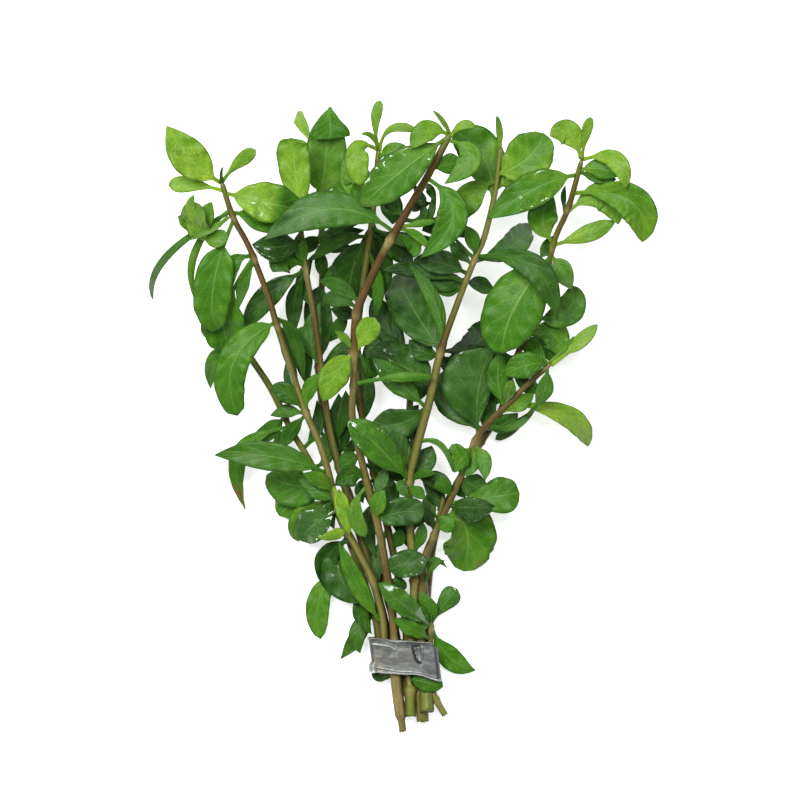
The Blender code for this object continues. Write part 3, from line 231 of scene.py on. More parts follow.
# The smaller leaves, and those that lie deeper between the stems. A leaf's place in
# the list sets its waves and folds, so new ones go at the end
SMALL_LEAVES = (
    Leaf(("a", 147.4), (-66.0, 149.2, 34.6), (-74.2, 149.0, 34.0), 5.4, SPOON, Look(0.84, 0.1, 0.1)),
    Leaf(("a", 150.2), (-52.0, 155.8, 41.0), (-46.4, 159.8, 43.0), 4.6, SPOON, Look(0.76, 0.1, 0.1)),
    Leaf(("a", 140.2), (-46.0, 138.6, 33.0), (-37.6, 133.4, 31.0), 6.6, LANCE, Look(0.52, 0.1, 0.1)),
    Leaf(("a", 141.2), (-66.2, 128.0, 25.0), (-65.8, 112.0, 18.0), 2.6, LANCE, Look(0.62, 0.2, 0.1)),
    Leaf(("a", 140.7), (-75.5, 126.4, 24.0), (-80.2, 113.3, 0.5), 2.5, RIBBON, Look(0.4, 0.8, 0)),
    Leaf(("a", 127.0), (-53.8, 124.2, 31.5), (-54.2, 116.2, 30.5), 5.0, LANCE, Look(0.36, 0.1, 0.1)),
    Leaf(("a", 107.0), (-35.0, 101.6, 22.6), (-31.8, 87.5, 17.0), 4.8, LANCE, Look(0.26, 0.2, 0.1)),
    Leaf(("a", 78.6), (-36.5, 83.6, 22.4), (-42.4, 85.3, 22.4), 6.6, OVAL, Look(0.26, 0.1, 0.2)),
    Leaf(("a", 77.4), (-37.0, 77.6, 18.6), (-42.4, 76.6, 17.6), 4.4, LANCE, Look(0.32, 0.1, 0.1)),
    Leaf(("a", 76.8), (-36.0, 71.6, 15.6), (-39.6, 66.0, 14.6), 5.0, LANCE, Look(0.3, 0.1, 0.5)),
    Leaf(("a", 52.5), (-26.5, 56.0, 20.0), (-32.0, 58.2, 23.0), 5.4, LANCE, Look(0.58, 0.1, 0.3)),
    Leaf(("a", 50.0), (-27.0, 52.4, 16.6), (-33.6, 56.5, 16.4), 5.4, LANCE, Look(0.4, 0.4, 0.1)),
    Leaf(("a", 41.6), (-18.8, 47.5, 18.0), (-20.8, 53.3, 19.4), 4.4, LANCE, Look(0.8, 0, 0.1)),
    Leaf(("a", 40.5), (-21.5, 38.8, 14.6), (-27.6, 37.6, 15.0), 4.0, LANCE, Look(0.84, 0, 0.1)),
    Leaf(("b", 164.3), (7.2, 165.6, 49.0), (2.4, 159.8, 50.5), 7.2, OVAL, Look(0.7, 0.05, 0.1)),
    Leaf(("b", 164.8), (12.6, 168.6, 48.5), (9.0, 171.8, 50.0), 1.7, RIBBON, Look(0.72, 0.5, 0)),
    Leaf(("b", 164.0), (18.2, 167.4, 47.5), (22.6, 166.6, 48.0), 3.2, OVAL, Look(0.76, 0.2, 0)),
    Leaf(("b", 163.0), (20.4, 157.2, 47.6), (12.6, 149.0, 47.6), 8.2, LANCE, Look(0.6, 0.1, 0.1)),
    Leaf(("b", 154.0), (13.4, 155.4, 42.4), (17.9, 156.2, 41.4), 6.8, OVAL, Look(0.48, 0.3, 0.1)),
    Leaf(("b", 136.0), (5.0, 136.8, 39.6), (10.8, 137.8, 39.6), 2.4, LANCE, Look(0.64, 0.1, 0.1)),
    Leaf(("b", 135.4), (4.0, 133.2, 38.2), (8.0, 128.3, 37.6), 2.8, LANCE, Look(0.64, 0.1, 0.1)),
    Leaf(("b", 139.0), (-3.5, 142.0, 38.4), (-6.5, 144.0, 37.6), 5.0, LANCE, Look(0.3, 0.1, 0.1)),
    Leaf(("b", 96.8), (-12.2, 101.6, 33.0), (-9.2, 107.4, 35.0), 7.6, SHIELD, Look(0.82, 0.05, 0.2)),
    Leaf(("b", 97.2), (-18.6, 101.0, 32.0), (-21.8, 103.2, 33.0), 3.2, LANCE, Look(0.7, 0.05, 0)),
    Leaf(("b", 86.6), (-3.0, 88.6, 30.0), (9.0, 88.7, 29.6), 3.2, STALKED, Look(0.52, 0.1, 0.1)),
    Leaf(("b", 44.0), (-8.0, 48.4, 20.6), (-6.2, 53.2, 22.0), 6.0, LANCE, Look(0.58, 0.1, 0.1)),
    Leaf(("b", 51.0), (-7.0, 55.4, 17.6), (-6.2, 60.5, 17.4), 4.5, LANCE, Look(0.3, 0.5, 0.1)),
    Leaf(("b", 54.0), (-15.2, 47.0, 19.0), (-12.2, 38.0, 17.0), 5.2, SHIELD, Look(0.62, 0.3, 0.2)),
    Leaf(("b", 57.0), (-17.0, 57.4, 22.4), (-21.8, 54.4, 23.0), 7.0, LANCE, Look(0.23, 0.05, 0.6)),
    Leaf(("c", 160.6), (29.9, 165.8, 42.5), (29.0, 170.4, 45.0), 2.2, RIBBON, Look(0.7, 0.3, 0)),
    Leaf(("c", 157.0), (32.2, 152.0, 37.6), (33.0, 147.0, 36.4), 5.0, LANCE, Look(0.6, 0.5, 0.1, 0.2)),
    Leaf(("c", 98.5), (10.0, 111.5, 27.6), (1.6, 124.2, 28.0), 5.0, LANCE, Look(0.36, 0.25, 0.1)),
    Leaf(("c", 97.0), (23.0, 99.6, 10.5), (28.0, 108.6, 2.0), 10.8, OVAL, Look(0.04, 0.05, 0.1)),
    Leaf(("c", 79.0), (-1.5, 87.2, 24.0), (-10.0, 95.0, 23.0), 8.0, LANCE, Look(0.34, 0.2, 0.7)),
    Leaf(("c", 121.0), (12.0, 124.6, 27.0), (3.0, 126.0, 24.0), 8.4, LANCE, Look(0.15, 0.5, 0.1, 0.1)),
    Leaf(("c", 118.6), (23.5, 117.6, 27.0), (29.0, 115.8, 24.0), 5.4, LANCE, Look(0.1, 0.2, 0.1)),
    Leaf(("c", 60.0), (-1.0, 66.0, 18.6), (-3.6, 72.0, 18.6), 6.5, LANCE, Look(0.26, 0.4, 0.1)),
    Leaf(("c", 57.0), (6.4, 61.6, 14.6), (8.8, 67.0, 14.0), 7.6, LANCE, Look(0.25, 0.1, 0.5)),
    Leaf(("c", 68.6), (11.8, 67.0, 21.6), (15.5, 58.5, 20.0), 2.0, RIBBON, Look(0.5, 0.5, 0)),
    Leaf(("c", 55.5), (5.6, 58.0, 19.0), (10.4, 58.0, 19.0), 3.0, LANCE, Look(0.34, 0.1, 0.6)),
    Leaf(("c", 54.6), (4.2, 52.4, 19.2), (6.6, 50.2, 20.0), 4.2, LANCE, Look(0.42, 0.1, 0.3)),
    Leaf(("c", 33.0), (5.4, 38.0, 13.6), (5.5, 43.0, 13.8), 4.0, LANCE, Look(0.3, 0.1, 0.1)),
    Leaf(("c", 126.8), (21.2, 131.6, 37.0), (19.3, 136.3, 38.5), 4.8, LANCE, Look(0.42, 0.2, 0.1)),
    Leaf(("c", -7.6), (6.8, -8.2, 8.9), (12.4, -9.8, 8.2), 6.8, BLUNT, Look(0.4, 0.1, 0.4, 0.15)),
    Leaf(("d", 157.0), (57.0, 163.6, 48.5), (58.2, 169.8, 51.0), 3.4, SPOON, Look(0.8, 0.05, 0.1)),
    Leaf(("d", 153.6), (61.0, 154.2, 42.6), (67.4, 151.6, 42.8), 6.4, OVAL, Look(0.62, 0.2, 0.1, 0, 0.1)),
    Leaf(("d", 126.5), (49.6, 122.6, 33.6), (52.7, 116.2, 33.2), 7.0, LANCE, Look(0.6, 0.75, 0.1)),
    Leaf(("e", 92.8), (54.6, 98.9, 27.0), (61.0, 105.4, 28.0), 4.6, STALKED, Look(0.86, 0.5, 0.1)),
    Leaf(("e", 92.2), (39.0, 92.6, 28.0), (31.6, 89.6, 26.4), 8.6, OVAL, Look(0.46, 0.1, 0.2)),
    Leaf(("e", 91.6), (44.4, 85.6, 24.0), (41.8, 79.2, 22.0), 5.6, LANCE, Look(0.42, 0.4, 0.1)),
    Leaf(("e", 74.0), (34.5, 73.0, 15.4), (42.0, 79.0, 15.0), 2.5, LANCE, Look(0.4, 0.5, 0.1)),
    Leaf(("e", 78.0), (36.4, 80.4, 20.2), (41.2, 83.6, 20.0), 5.2, LANCE, Look(0.58, 0.1, 0.1)),
    Leaf(("e", 79.4), (29.6, 88.0, 22.0), (30.5, 96.5, 24.0), 7.4, LANCE, Look(0.4, 0.2, 0.2)),
    Leaf(("e", 66.4), (18.0, 63.0, 19.4), (16.0, 58.5, 19.0), 6.4, LANCE, Look(0.62, 0.1, 0.1)),
    Leaf(("e", 67.2), (25.0, 62.5, 19.0), (25.6, 56.0, 20.6), 5.0, LANCE, Look(0.54, 0.2, 0.2)),
    Leaf(("e", 51.0), (12.6, 54.2, 15.6), (11.0, 57.5, 16.4), 6.0, LANCE, Look(0.34, 0.1, 0.3)),
    Leaf(("e", 40.6), (13.2, 42.0, 13.6), (16.0, 44.0, 14.0), 6.4, LANCE, Look(0.5, 0.1, 0.1)),
    Leaf(("e", 28.5), (9.8, 30.8, 12.0), (13.6, 28.2, 12.0), 2.0, LANCE, Look(0.4, 0.4, 0, 0.1)),
    Leaf(("f", 95.6), (-58.8, 94.8, 11.0), (-62.0, 85.2, 0.5), 6.6, LANCE, Look(0.5, 0.1, 0.1)),
    Leaf(("f", 13.2), (-14.5, 6.4, 2.2), (-20.2, -1.2, 0.5), 5.0, LANCE, Look(0.34, 0.2, 0.2, 0.1)),
    Leaf(("f", 14.6), (-14.6, 8.0, 6.0), (-14.0, 0.6, 5.0), 5.6, LANCE, Look(0.3, 0.1, 0.2)),
    Leaf(("g", 132.0), (-39.6, 129.8, 26.4), (-48.0, 130.6, 27.0), 9.6, LANCE, Look(0.12, 0.1, 0.8)),
    Leaf(("g", 124.0), (-37.4, 126.0, 22.6), (-41.6, 122.0, 23.6), 9.4, OVAL, Look(0.25, 0.1, 0.1)),
    Leaf(("g", 121.6), (-34.8, 113.0, 14.6), (-34.6, 103.0, 11.0), 5.6, LANCE, Look(0.12, 0.5, 0.1)),
    Leaf(("g", 105.0), (-32.2, 102.0, 12.4), (-35.0, 98.0, 10.0), 5.0, OVAL, Look(0.34, 0.1, 0.1)),
    Leaf(("h", 160.6), (-31.6, 168.6, 6.0), (-34.2, 173.2, 0.5), 4.4, SPOON, Look(0.84, 0.05, 0.1)),
    Leaf(("h", 92.0), (-26.4, 104.0, 8.4), (-25.6, 117.0, 10.0), 7.0, LANCE, Look(0.24, 0.5, 0.1)),
    Leaf(("h", 119.0), (-21.6, 122.0, 9.0), (-16.4, 118.5, 8.0), 5.0, LANCE, Look(0.4, 0.1, 0.1)),
    Leaf(("i", 66.4), (0.4, 73.0, 12.6), (4.6, 80.0, 14.6), 8.0, LANCE, Look(0.08, 0.05, 0.7)),
    Leaf(("j", 5.2), (2.8, 8.4, 12.0), (-3.2, 12.0, 10.2), 5.6, LANCE, Look(0.5, 0.05, 0.2)),
    Leaf(("j", 10.4), (12.8, 16.5, 9.0), (17.0, 21.4, 10.0), 6.6, SPOON, Look(0.44, 0.4, 0.8)),
    Leaf(("j", 10.8), (7.9, 15.4, 10.8), (4.6, 20.6, 11.6), 5.6, LANCE, Look(0.5, 0.2, 0.4)),
    Leaf(("k", 160.8), (-8.9, 169.0, 32.0), (-7.4, 175.8, 33.0), 3.6, SPOON, Look(0.78, 0.4, 0)),
    Leaf(("k", 160.2), (-4.2, 166.8, 31.0), (4.2, 166.2, 31.0), 3.0, SPOON, Look(0.78, 0.4, 0)),
    Leaf(("k", 158.0), (-4.2, 160.6, 29.0), (1.6, 160.4, 29.0), 5.0, OVAL, Look(0.56, 0.05, 0)),
    Leaf(("k", 132.0), (-16.0, 124.0, 15.0), (-17.6, 112.6, 9.0), 13.0, OVAL, Look(0.13, 0.05, 0.1)),
    Leaf(("k", 133.0), (-21.0, 131.8, 21.0), (-29.4, 125.6, 16.6), 5.0, LANCE, Look(0.24, 0.3, 0.1)),
    Leaf(("k", 34.0), (-1.8, 37.4, 8.4), (-1.5, 40.5, 9.4), 4.6, LANCE, Look(0.26, 0.1, 0.1)),
    Leaf(("f", 76.0), (-42.4, 71.9, 9.0), (-50.2, 66.7, 6.0), 5.8, LANCE, Look(0.3, 0.1, 0.3)),
    Leaf(("a", 125.0), (-50.4, 118.8, 29.0), (-52.2, 110.4, 28.0), 4.2, LANCE, Look(0.36, 0.1, 0.1)),
    Leaf(("k", 139.0), (-9.6, 127.0, 15.0), (-8.6, 112.5, 11.0), 12.0, OVAL, Look(0.18, 0.1, 0.1)),
    Leaf(("k", 128.0), (-8.4, 118.0, 16.0), (-9.4, 107.5, 14.0), 4.0, LANCE, Look(0.42, 0.1, 0.1)),
    Leaf(("h", 118.0), (-28.4, 112.5, 9.0), (-31.0, 101.0, 6.0), 6.0, LANCE, Look(0.16, 0.1, 0.1)),
    Leaf(("g", 93.0), (-29.4, 101.0, 15.5), (-26.6, 112.5, 16.0), 6.5, LANCE, Look(0.28, 0.45, 0.1)),
    Leaf(("b", 110.0), (-20.5, 113.6, 26.0), (-25.6, 112.4, 21.0), 5.4, OVAL, Look(0.24, 0.2, 0.1)),
    Leaf(("b", 111.5), (-19.6, 117.0, 26.0), (-27.0, 119.4, 20.0), 5.0, LANCE, Look(0.26, 0.2, 0.2)),
    Leaf(("k", 107.0), (-18.6, 109.6, 15.0), (-23.4, 110.4, 12.0), 5.0, LANCE, Look(0.14, 0.1, 0.1)),
    Leaf(("i", 91.0), (-5.0, 104.0, 10.0), (-9.6, 114.6, 9.0), 9.0, OVAL, Look(0.14, 0.1, 0.1)),
    Leaf(("i", 90.0), (-5.5, 98.0, 11.0), (-13.0, 93.5, 10.0), 9.0, OVAL, Look(0.2, 0.1, 0.3)),
    Leaf(("c", 118.5), (5.5, 122.6, 23.0), (-6.8, 122.6, 20.0), 5.6, LANCE, Look(0.16, 0.35, 0.1)),
    Leaf(("c", 119.6), (14.6, 118.6, 25.0), (8.0, 119.6, 22.0), 6.4, OVAL, Look(0.2, 0.25, 0.1)),
    Leaf(("b", 133.6), (2.6, 130.4, 33.0), (3.0, 126.4, 32.0), 4.6, OVAL, Look(0.5, 0.1, 0.1)),
    Leaf(("k", 136.0), (0.6, 132.0, 26.0), (9.0, 133.0, 24.0), 5.0, LANCE, Look(0.22, 0.1, 0.1)),
    Leaf(("b", 138.0), (6.0, 139.4, 35.0), (3.6, 146.0, 35.0), 2.6, LANCE, Look(0.26, 0.1, 0.1)),
    Leaf(("b", 138.4), (7.4, 139.0, 34.0), (9.0, 147.6, 34.0), 2.8, LANCE, Look(0.26, 0.1, 0.1)),
    Leaf(("b", 148.0), (8.0, 148.0, 36.0), (10.0, 143.0, 36.0), 3.0, LANCE, Look(0.2, 0.1, 0.1)),
    Leaf(("c", 96.6), (15.6, 93.4, 16.0), (26.0, 98.6, 13.0), 10.0, OVAL, Look(0.08, 0.1, 0.2)),
    Leaf(("e", 71.5), (15.4, 80.6, 14.0), (12.8, 91.0, 13.0), 10.0, OVAL, Look(0.2, 0.4, 0.1)),
    Leaf(("e", 72.0), (15.6, 77.4, 13.0), (10.4, 80.6, 12.0), 5.0, OVAL, Look(0.24, 0.35, 0.1)),
    Leaf(("c", 126.0), (18.6, 129.6, 33.0), (15.4, 133.0, 33.0), 1.2, RIBBON, Look(0.4, 0.6, 0)),
    Leaf(("a", 80.0), (-35.8, 87.0, 14.0), (-36.0, 96.0, 12.0), 4.4, OVAL, Look(0.22, 0.1, 0.1)),
    Leaf(("g", 106.0), (-31.6, 96.0, 12.0), (-30.4, 85.6, 10.0), 5.4, LANCE, Look(0.24, 0.1, 0.1)),
    Leaf(("a", 104.5), (-35.6, 98.5, 20.0), (-35.4, 90.0, 17.0), 4.4, LANCE, Look(0.22, 0.2, 0.1)),
    Leaf(("h", 62.0), (-20.6, 72.0, 8.0), (-20.8, 83.6, 9.0), 8.0, LANCE, Look(0.12, 0.2, 0.1)),
    Leaf(("h", 66.0), (-19.2, 77.0, 13.0), (-18.6, 84.6, 15.0), 4.0, LANCE, Look(0.3, 0.5, 0.1)),
    Leaf(("k", 97.5), (-12.6, 86.0, 12.0), (-13.4, 75.0, 10.0), 6.6, OVAL, Look(0.34, 0.4, 1)),
    Leaf(("k", 96.0), (-10.4, 91.6, 15.0), (-9.6, 88.6, 14.0), 5.0, OVAL, Look(0.34, 0.1, 0.1)),
    Leaf(("h", 145.0), (-33.0, 147.2, 9.0), (-36.6, 147.6, 10.0), 3.8, OVAL, Look(0.34, 0.4, 0.1)),
    Leaf(("k", 141.0), (-17.6, 146.0, 20.0), (-21.8, 149.8, 21.0), 8.6, OVAL, Look(0.5, 0.1, 0.1)),
    Leaf(("k", 143.0), (-12.6, 146.8, 22.0), (-14.6, 151.4, 24.0), 8.0, OVAL, Look(0.52, 0.1, 0.1)),
    Leaf(("k", 161.0), (-10.2, 164.6, 32.0), (-13.4, 165.2, 33.0), 1.7, RIBBON, Look(0.76, 0.4, 0)),
    Leaf(("h", 134.0), (-29.6, 131.4, 8.0), (-34.0, 129.0, 8.0), 5.0, OVAL, Look(0.2, 0.1, 0.1)),
    Leaf(("h", 135.0), (-21.0, 134.6, 11.0), (-12.6, 135.6, 11.0), 4.4, LANCE, Look(0.16, 0.1, 0.1)),
    Leaf(("g", 124.5), (-32.4, 128.6, 22.0), (-33.6, 134.0, 23.0), 5.0, OVAL, Look(0.36, 0.1, 0.1)),
    Leaf(("f", 72.0), (-38.2, 69.6, 9.0), (-41.6, 65.4, 8.0), 5.4, LANCE, Look(0.3, 0.1, 0.7)),
    Leaf(("f", 50.0), (-31.0, 44.0, 6.0), (-34.0, 36.4, 1.0), 10.4, OVAL, Look(0.62, 0.05, 0.1)),
    Leaf(("f", 56.0), (-36.0, 49.0, 4.0), (-40.0, 44.6, 1.0), 10.0, OVAL, Look(0.46, 0.1, 0.1)),
    Leaf(("a", 54.0), (-19.4, 47.0, 17.5), (-17.4, 38.4, 16.0), 5.0, LANCE, Look(0.8, 0, 0.2)),
    Leaf(("b", 63.0), (-17.0, 62.0, 17.0), (-19.6, 57.6, 16.0), 7.0, LANCE, Look(0.3, 0.1, 0.1)),
    Leaf(("a", 37.0), (-24.4, 31.6, 8.0), (-24.6, 20.6, 4.0), 7.4, LANCE, Look(0.14, 0.1, 0.2)),
    Leaf(("f", 13.5), (-12.6, 13.2, 5.0), (-15.6, 19.0, 6.0), 7.0, LANCE, Look(0.22, 0.1, 0.1)),
    Leaf(("k", 20.0), (-1.4, 22.6, 9.0), (-4.4, 24.2, 9.5), 4.4, LANCE, Look(0.28, 0.3, 0.1)),
    Leaf(("k", 58.0), (-5.6, 53.0, 9.0), (-2.6, 45.0, 8.0), 7.0, LANCE, Look(0.26, 0.3, 0.1)),
    Leaf(("k", 44.0), (-1.0, 40.0, 6.0), (1.6, 34.0, 6.0), 5.0, LANCE, Look(0.2, 0.1, 0.1)),
    Leaf(("i", 40.0), (6.0, 44.8, 6.0), (7.2, 50.4, 7.0), 4.4, LANCE, Look(0.2, 0.1, 0.2)),
    Leaf(("c", 79.0), (-1.0, 74.6, 17.0), (-10.4, 74.0, 14.0), 10.5, OVAL, Look(0.2, 0.5, 0.1)),
    Leaf(("c", 60.0), (3.0, 69.6, 14.0), (4.2, 77.6, 14.0), 4.6, LANCE, Look(0.08, 0.05, 0.9)),
    Leaf(("c", 57.0), (-1.2, 62.0, 19.0), (-1.6, 67.0, 19.6), 3.4, LANCE, Look(0.56, 0.1, 0.1)),
    Leaf(("c", 55.5), (-0.6, 54.2, 18.0), (1.6, 50.4, 18.0), 4.0, LANCE, Look(0.36, 0.1, 0.4)),
    Leaf(("b", 61.0), (-8.4, 61.0, 15.0), (-5.0, 64.6, 15.0), 5.0, LANCE, Look(0.2, 0.2, 0.1)),
    Leaf(("e", 58.0), (17.4, 63.0, 19.0), (15.0, 67.4, 19.2), 6.4, BLUNT, Look(0.54, 0.1, 0.1)),
    Leaf(("e", 53.0), (11.0, 55.6, 12.0), (4.6, 57.0, 10.0), 6.0, LANCE, Look(0.16, 0.1, 0.5)),
    Leaf(("e", 57.0), (21.6, 54.6, 13.0), (27.6, 51.6, 11.0), 8.0, LANCE, Look(0.2, 0.4, 0.2)),
    Leaf(("e", 48.0), (20.6, 47.6, 18.4), (29.4, 47.6, 17.6), 8.0, LANCE, Look(0.18, 0.5, 1), lean=0.18),
    Leaf(("e", 66.4), (21.6, 62.0, 17.0), (19.6, 57.0, 17.0), 5.0, LANCE, Look(0.56, 0.1, 0.1)),
    Leaf(("e", 72.5), (31.6, 73.8, 13.0), (36.2, 77.4, 12.0), 6.0, LANCE, Look(0.36, 0.1, 0.1)),
    Leaf(("e", 80.0), (32.6, 84.0, 24.0), (34.6, 87.8, 25.0), 4.4, OVAL, Look(0.56, 0.1, 0.6)),
    Leaf(("e", 92.8), (51.6, 98.8, 26.0), (53.7, 101.6, 26.5), 1.6, RIBBON, Look(0.66, 0.4, 0)),
    Leaf(("d", 140.0), (50.3, 145.0, 33.0), (50.7, 149.0, 33.0), 1.8, LANCE, Look(0.2, 0.1, 0.1)),
    Leaf(("c", 148.0), (34.5, 152.4, 36.0), (40.6, 156.6, 37.0), 7.4, OVAL, Look(0.6, 0.25, 0.1)),
    Leaf(("d", 153.0), (60.4, 151.6, 40.0), (66.6, 150.6, 40.0), 4.4, OVAL, Look(0.4, 0.1, 0.1)),
    Leaf(("h", -6.0), (-6.4, -6.8, 1.6), (-10.4, -6.0, 1.2), 2.6, LANCE, Look(0.6, 0.1, 0.1, 0.1)),
    Leaf(("j", 9.0), (4.6, 11.4, 10.0), (-0.6, 17.6, 10.6), 7.0, LANCE, Look(0.46, 0.1, 0.3)),
    Leaf(("k", 150.0), (-4.6, 144.6, 26.0), (-3.6, 137.0, 25.0), 7.6, OVAL, Look(0.18, 0.1, 0.1)),
    Leaf(("b", 144.0), (5.4, 144.4, 36.0), (2.4, 150.0, 36.0), 3.4, LANCE, Look(0.16, 0.1, 0.1)),
    Leaf(("k", 134.0), (-2.6, 129.6, 18.0), (2.6, 125.4, 18.0), 7.6, OVAL, Look(0.18, 0.1, 0.2)),
    Leaf(("c", 131.0), (14.0, 136.0, 29.0), (5.6, 135.0, 28.0), 6.6, OVAL, Look(0.24, 0.1, 0.1)),
    Leaf(("e", 92.4), (41.6, 97.6, 22.0), (37.6, 101.6, 21.0), 6.4, OVAL, Look(0.44, 0.1, 0.2)),
    Leaf(("d", 103.0), (45.0, 98.6, 20.0), (47.6, 92.6, 18.0), 5.6, LANCE, Look(0.3, 0.1, 0.1)),
    Leaf(("e", 88.0), (40.4, 85.6, 20.0), (35.0, 88.6, 19.0), 5.0, OVAL, Look(0.3, 0.1, 0.3)),
    Leaf(("d", 95.0), (31.0, 95.6, 17.0), (27.6, 99.6, 16.0), 6.6, OVAL, Look(0.2, 0.1, 0.2)),
    Leaf(("h", 99.0), (-22.0, 103.6, 8.0), (-18.6, 108.6, 8.6), 5.0, OVAL, Look(0.24, 0.2, 0.1)),
    Leaf(("c", 96.0), (6.6, 96.6, 22.0), (1.6, 100.6, 21.0), 6.6, OVAL, Look(0.2, 0.2, 0.1)),
    Leaf(("f", 66.0), (-28.0, 72.6, 8.0), (-27.8, 81.6, 9.0), 4.2, LANCE, Look(0.34, 0.3, 0.1)),
    Leaf(("f", 60.0), (-24.6, 64.0, 7.6), (-26.6, 72.0, 8.0), 4.2, LANCE, Look(0.4, 0.2, 0.1)),
    Leaf(("j", 44.0), (8.6, 47.6, 7.0), (8.6, 52.6, 7.4), 4.6, LANCE, Look(0.34, 0.2, 0.1)),
    Leaf(("g", 112.0), (-32.6, 118.0, 14.0), (-28.6, 128.0, 14.0), 4.4, LANCE, Look(0.2, 0.2, 0.1)),
    Leaf(("e", 24.0), (9.6, 28.6, 12.4), (13.0, 30.4, 13.0), 2.0, LANCE, Look(0.4, 0.3, 0.1)),
    Leaf(("d", 88.0), (28.8, 83.0, 12.0), (27.0, 88.6, 12.0), 6.6, OVAL, Look(0.28, 0.1, 0.2)),
    Leaf(("g", 142.8), (-35.6, 154.4, 25.0), (-30.4, 156.6, 25.0), 3.4, LANCE, Look(0.3, 0.1, 0.1)),
    Leaf(("k", 145.0), (-16.0, 139.6, 22.0), (-27.0, 136.4, 22.0), 6.0, LANCE, Look(0.24, 0.1, 0.2)),
    Leaf(("h", 138.0), (-24.0, 131.4, 11.0), (-16.4, 130.4, 12.0), 5.0, LANCE, Look(0.2, 0.1, 0.2)),
    Leaf(("b", -4.0), (-7.4, -6.9, 3.4), (-10.4, -5.8, 2.6), 3.0, LANCE, Look(0.24, 0.5, 0.3)),
    Leaf(("b", 59.0), (-11.6, 54.0, 14.0), (-10.2, 46.6, 13.0), 3.6, LANCE, Look(0.3, 0.2, 0.1)),
    Leaf(("c", 117.0), (14.2, 116.4, 24.0), (9.2, 117.6, 22.0), 4.6, LANCE, Look(0.26, 0.3, 0.1)),
    Leaf(("k", 50.0), (-11.6, 42.0, 7.0), (-8.8, 31.0, 6.0), 5.0, LANCE, Look(0.2, 0.2, 0.1)),
    Leaf(("k", 40.0), (-8.0, 31.0, 6.0), (-9.6, 20.0, 6.0), 4.4, LANCE, Look(0.2, 0.2, 0.1)),
    Leaf(("a", 103.0), (-37.2, 97.0, 17.0), (-33.6, 86.0, 15.0), 3.4, LANCE, Look(0.24, 0.1, 0.1)),
    Leaf(("a", 50.0), (-23.8, 46.4, 13.0), (-22.2, 40.4, 12.0), 4.4, LANCE, Look(0.22, 0.1, 0.3)),
    Leaf(("f", 17.0), (-12.6, 12.0, 8.0), (-10.4, 7.0, 8.0), 4.2, LANCE, Look(0.26, 0.1, 0.2)),
    Leaf(("j", 46.0), (10.4, 50.8, 8.0), (5.8, 55.8, 8.0), 5.4, LANCE, Look(0.12, 0.1, 0.2)),
    Leaf(("e", 72.0), (26.6, 76.6, 13.0), (29.4, 81.4, 13.0), 5.0, LANCE, Look(0.14, 0.1, 0.1)),
    Leaf(("c", 124.0), (17.8, 128.2, 27.0), (14.4, 131.4, 26.0), 4.4, LANCE, Look(0.28, 0.1, 0.1)),
    Leaf(("h", 120.0), (-26.4, 124.6, 9.0), (-26.8, 129.4, 9.6), 4.4, LANCE, Look(0.16, 0.1, 0.1)),
    Leaf(("h", 92.0), (-20.6, 96.6, 8.0), (-16.8, 100.2, 9.0), 5.0, OVAL, Look(0.2, 0.1, 0.1)),
    Leaf(("k", 62.0), (-3.8, 57.8, 9.0), (0.2, 56.4, 9.0), 4.0, LANCE, Look(0.16, 0.1, 0.2)),
    Leaf(("b", 70.0), (-16.6, 67.2, 17.0), (-19.4, 64.0, 16.0), 4.6, LANCE, Look(0.24, 0.1, 0.3)),
    Leaf(("c", 88.0), (6.2, 85.0, 15.0), (4.4, 81.0, 14.0), 4.4, LANCE, Look(0.16, 0.1, 0.1)),
    Leaf(("k", 56.0), (-13.6, 53.6, 11.0), (-13.0, 48.6, 11.0), 4.4, LANCE, Look(0.2, 0.1, 0.1)),
    Leaf(("b", 142.0), (3.4, 142.6, 33.0), (8.6, 143.6, 32.0), 4.0, LANCE, Look(0.14, 0.1, 0.1)),
    Leaf(("j", 40.0), (8.0, 43.6, 8.0), (6.4, 47.2, 8.0), 3.6, LANCE, Look(0.16, 0.1, 0.2)),
    Leaf(("e", 58.0), (17.6, 54.0, 11.0), (19.6, 50.4, 10.0), 4.6, LANCE, Look(0.18, 0.1, 0.2)),
    Leaf(("d", 134.0), (45.6, 130.2, 30.0), (43.0, 126.6, 29.0), 4.6, LANCE, Look(0.3, 0.1, 0.1)),
)

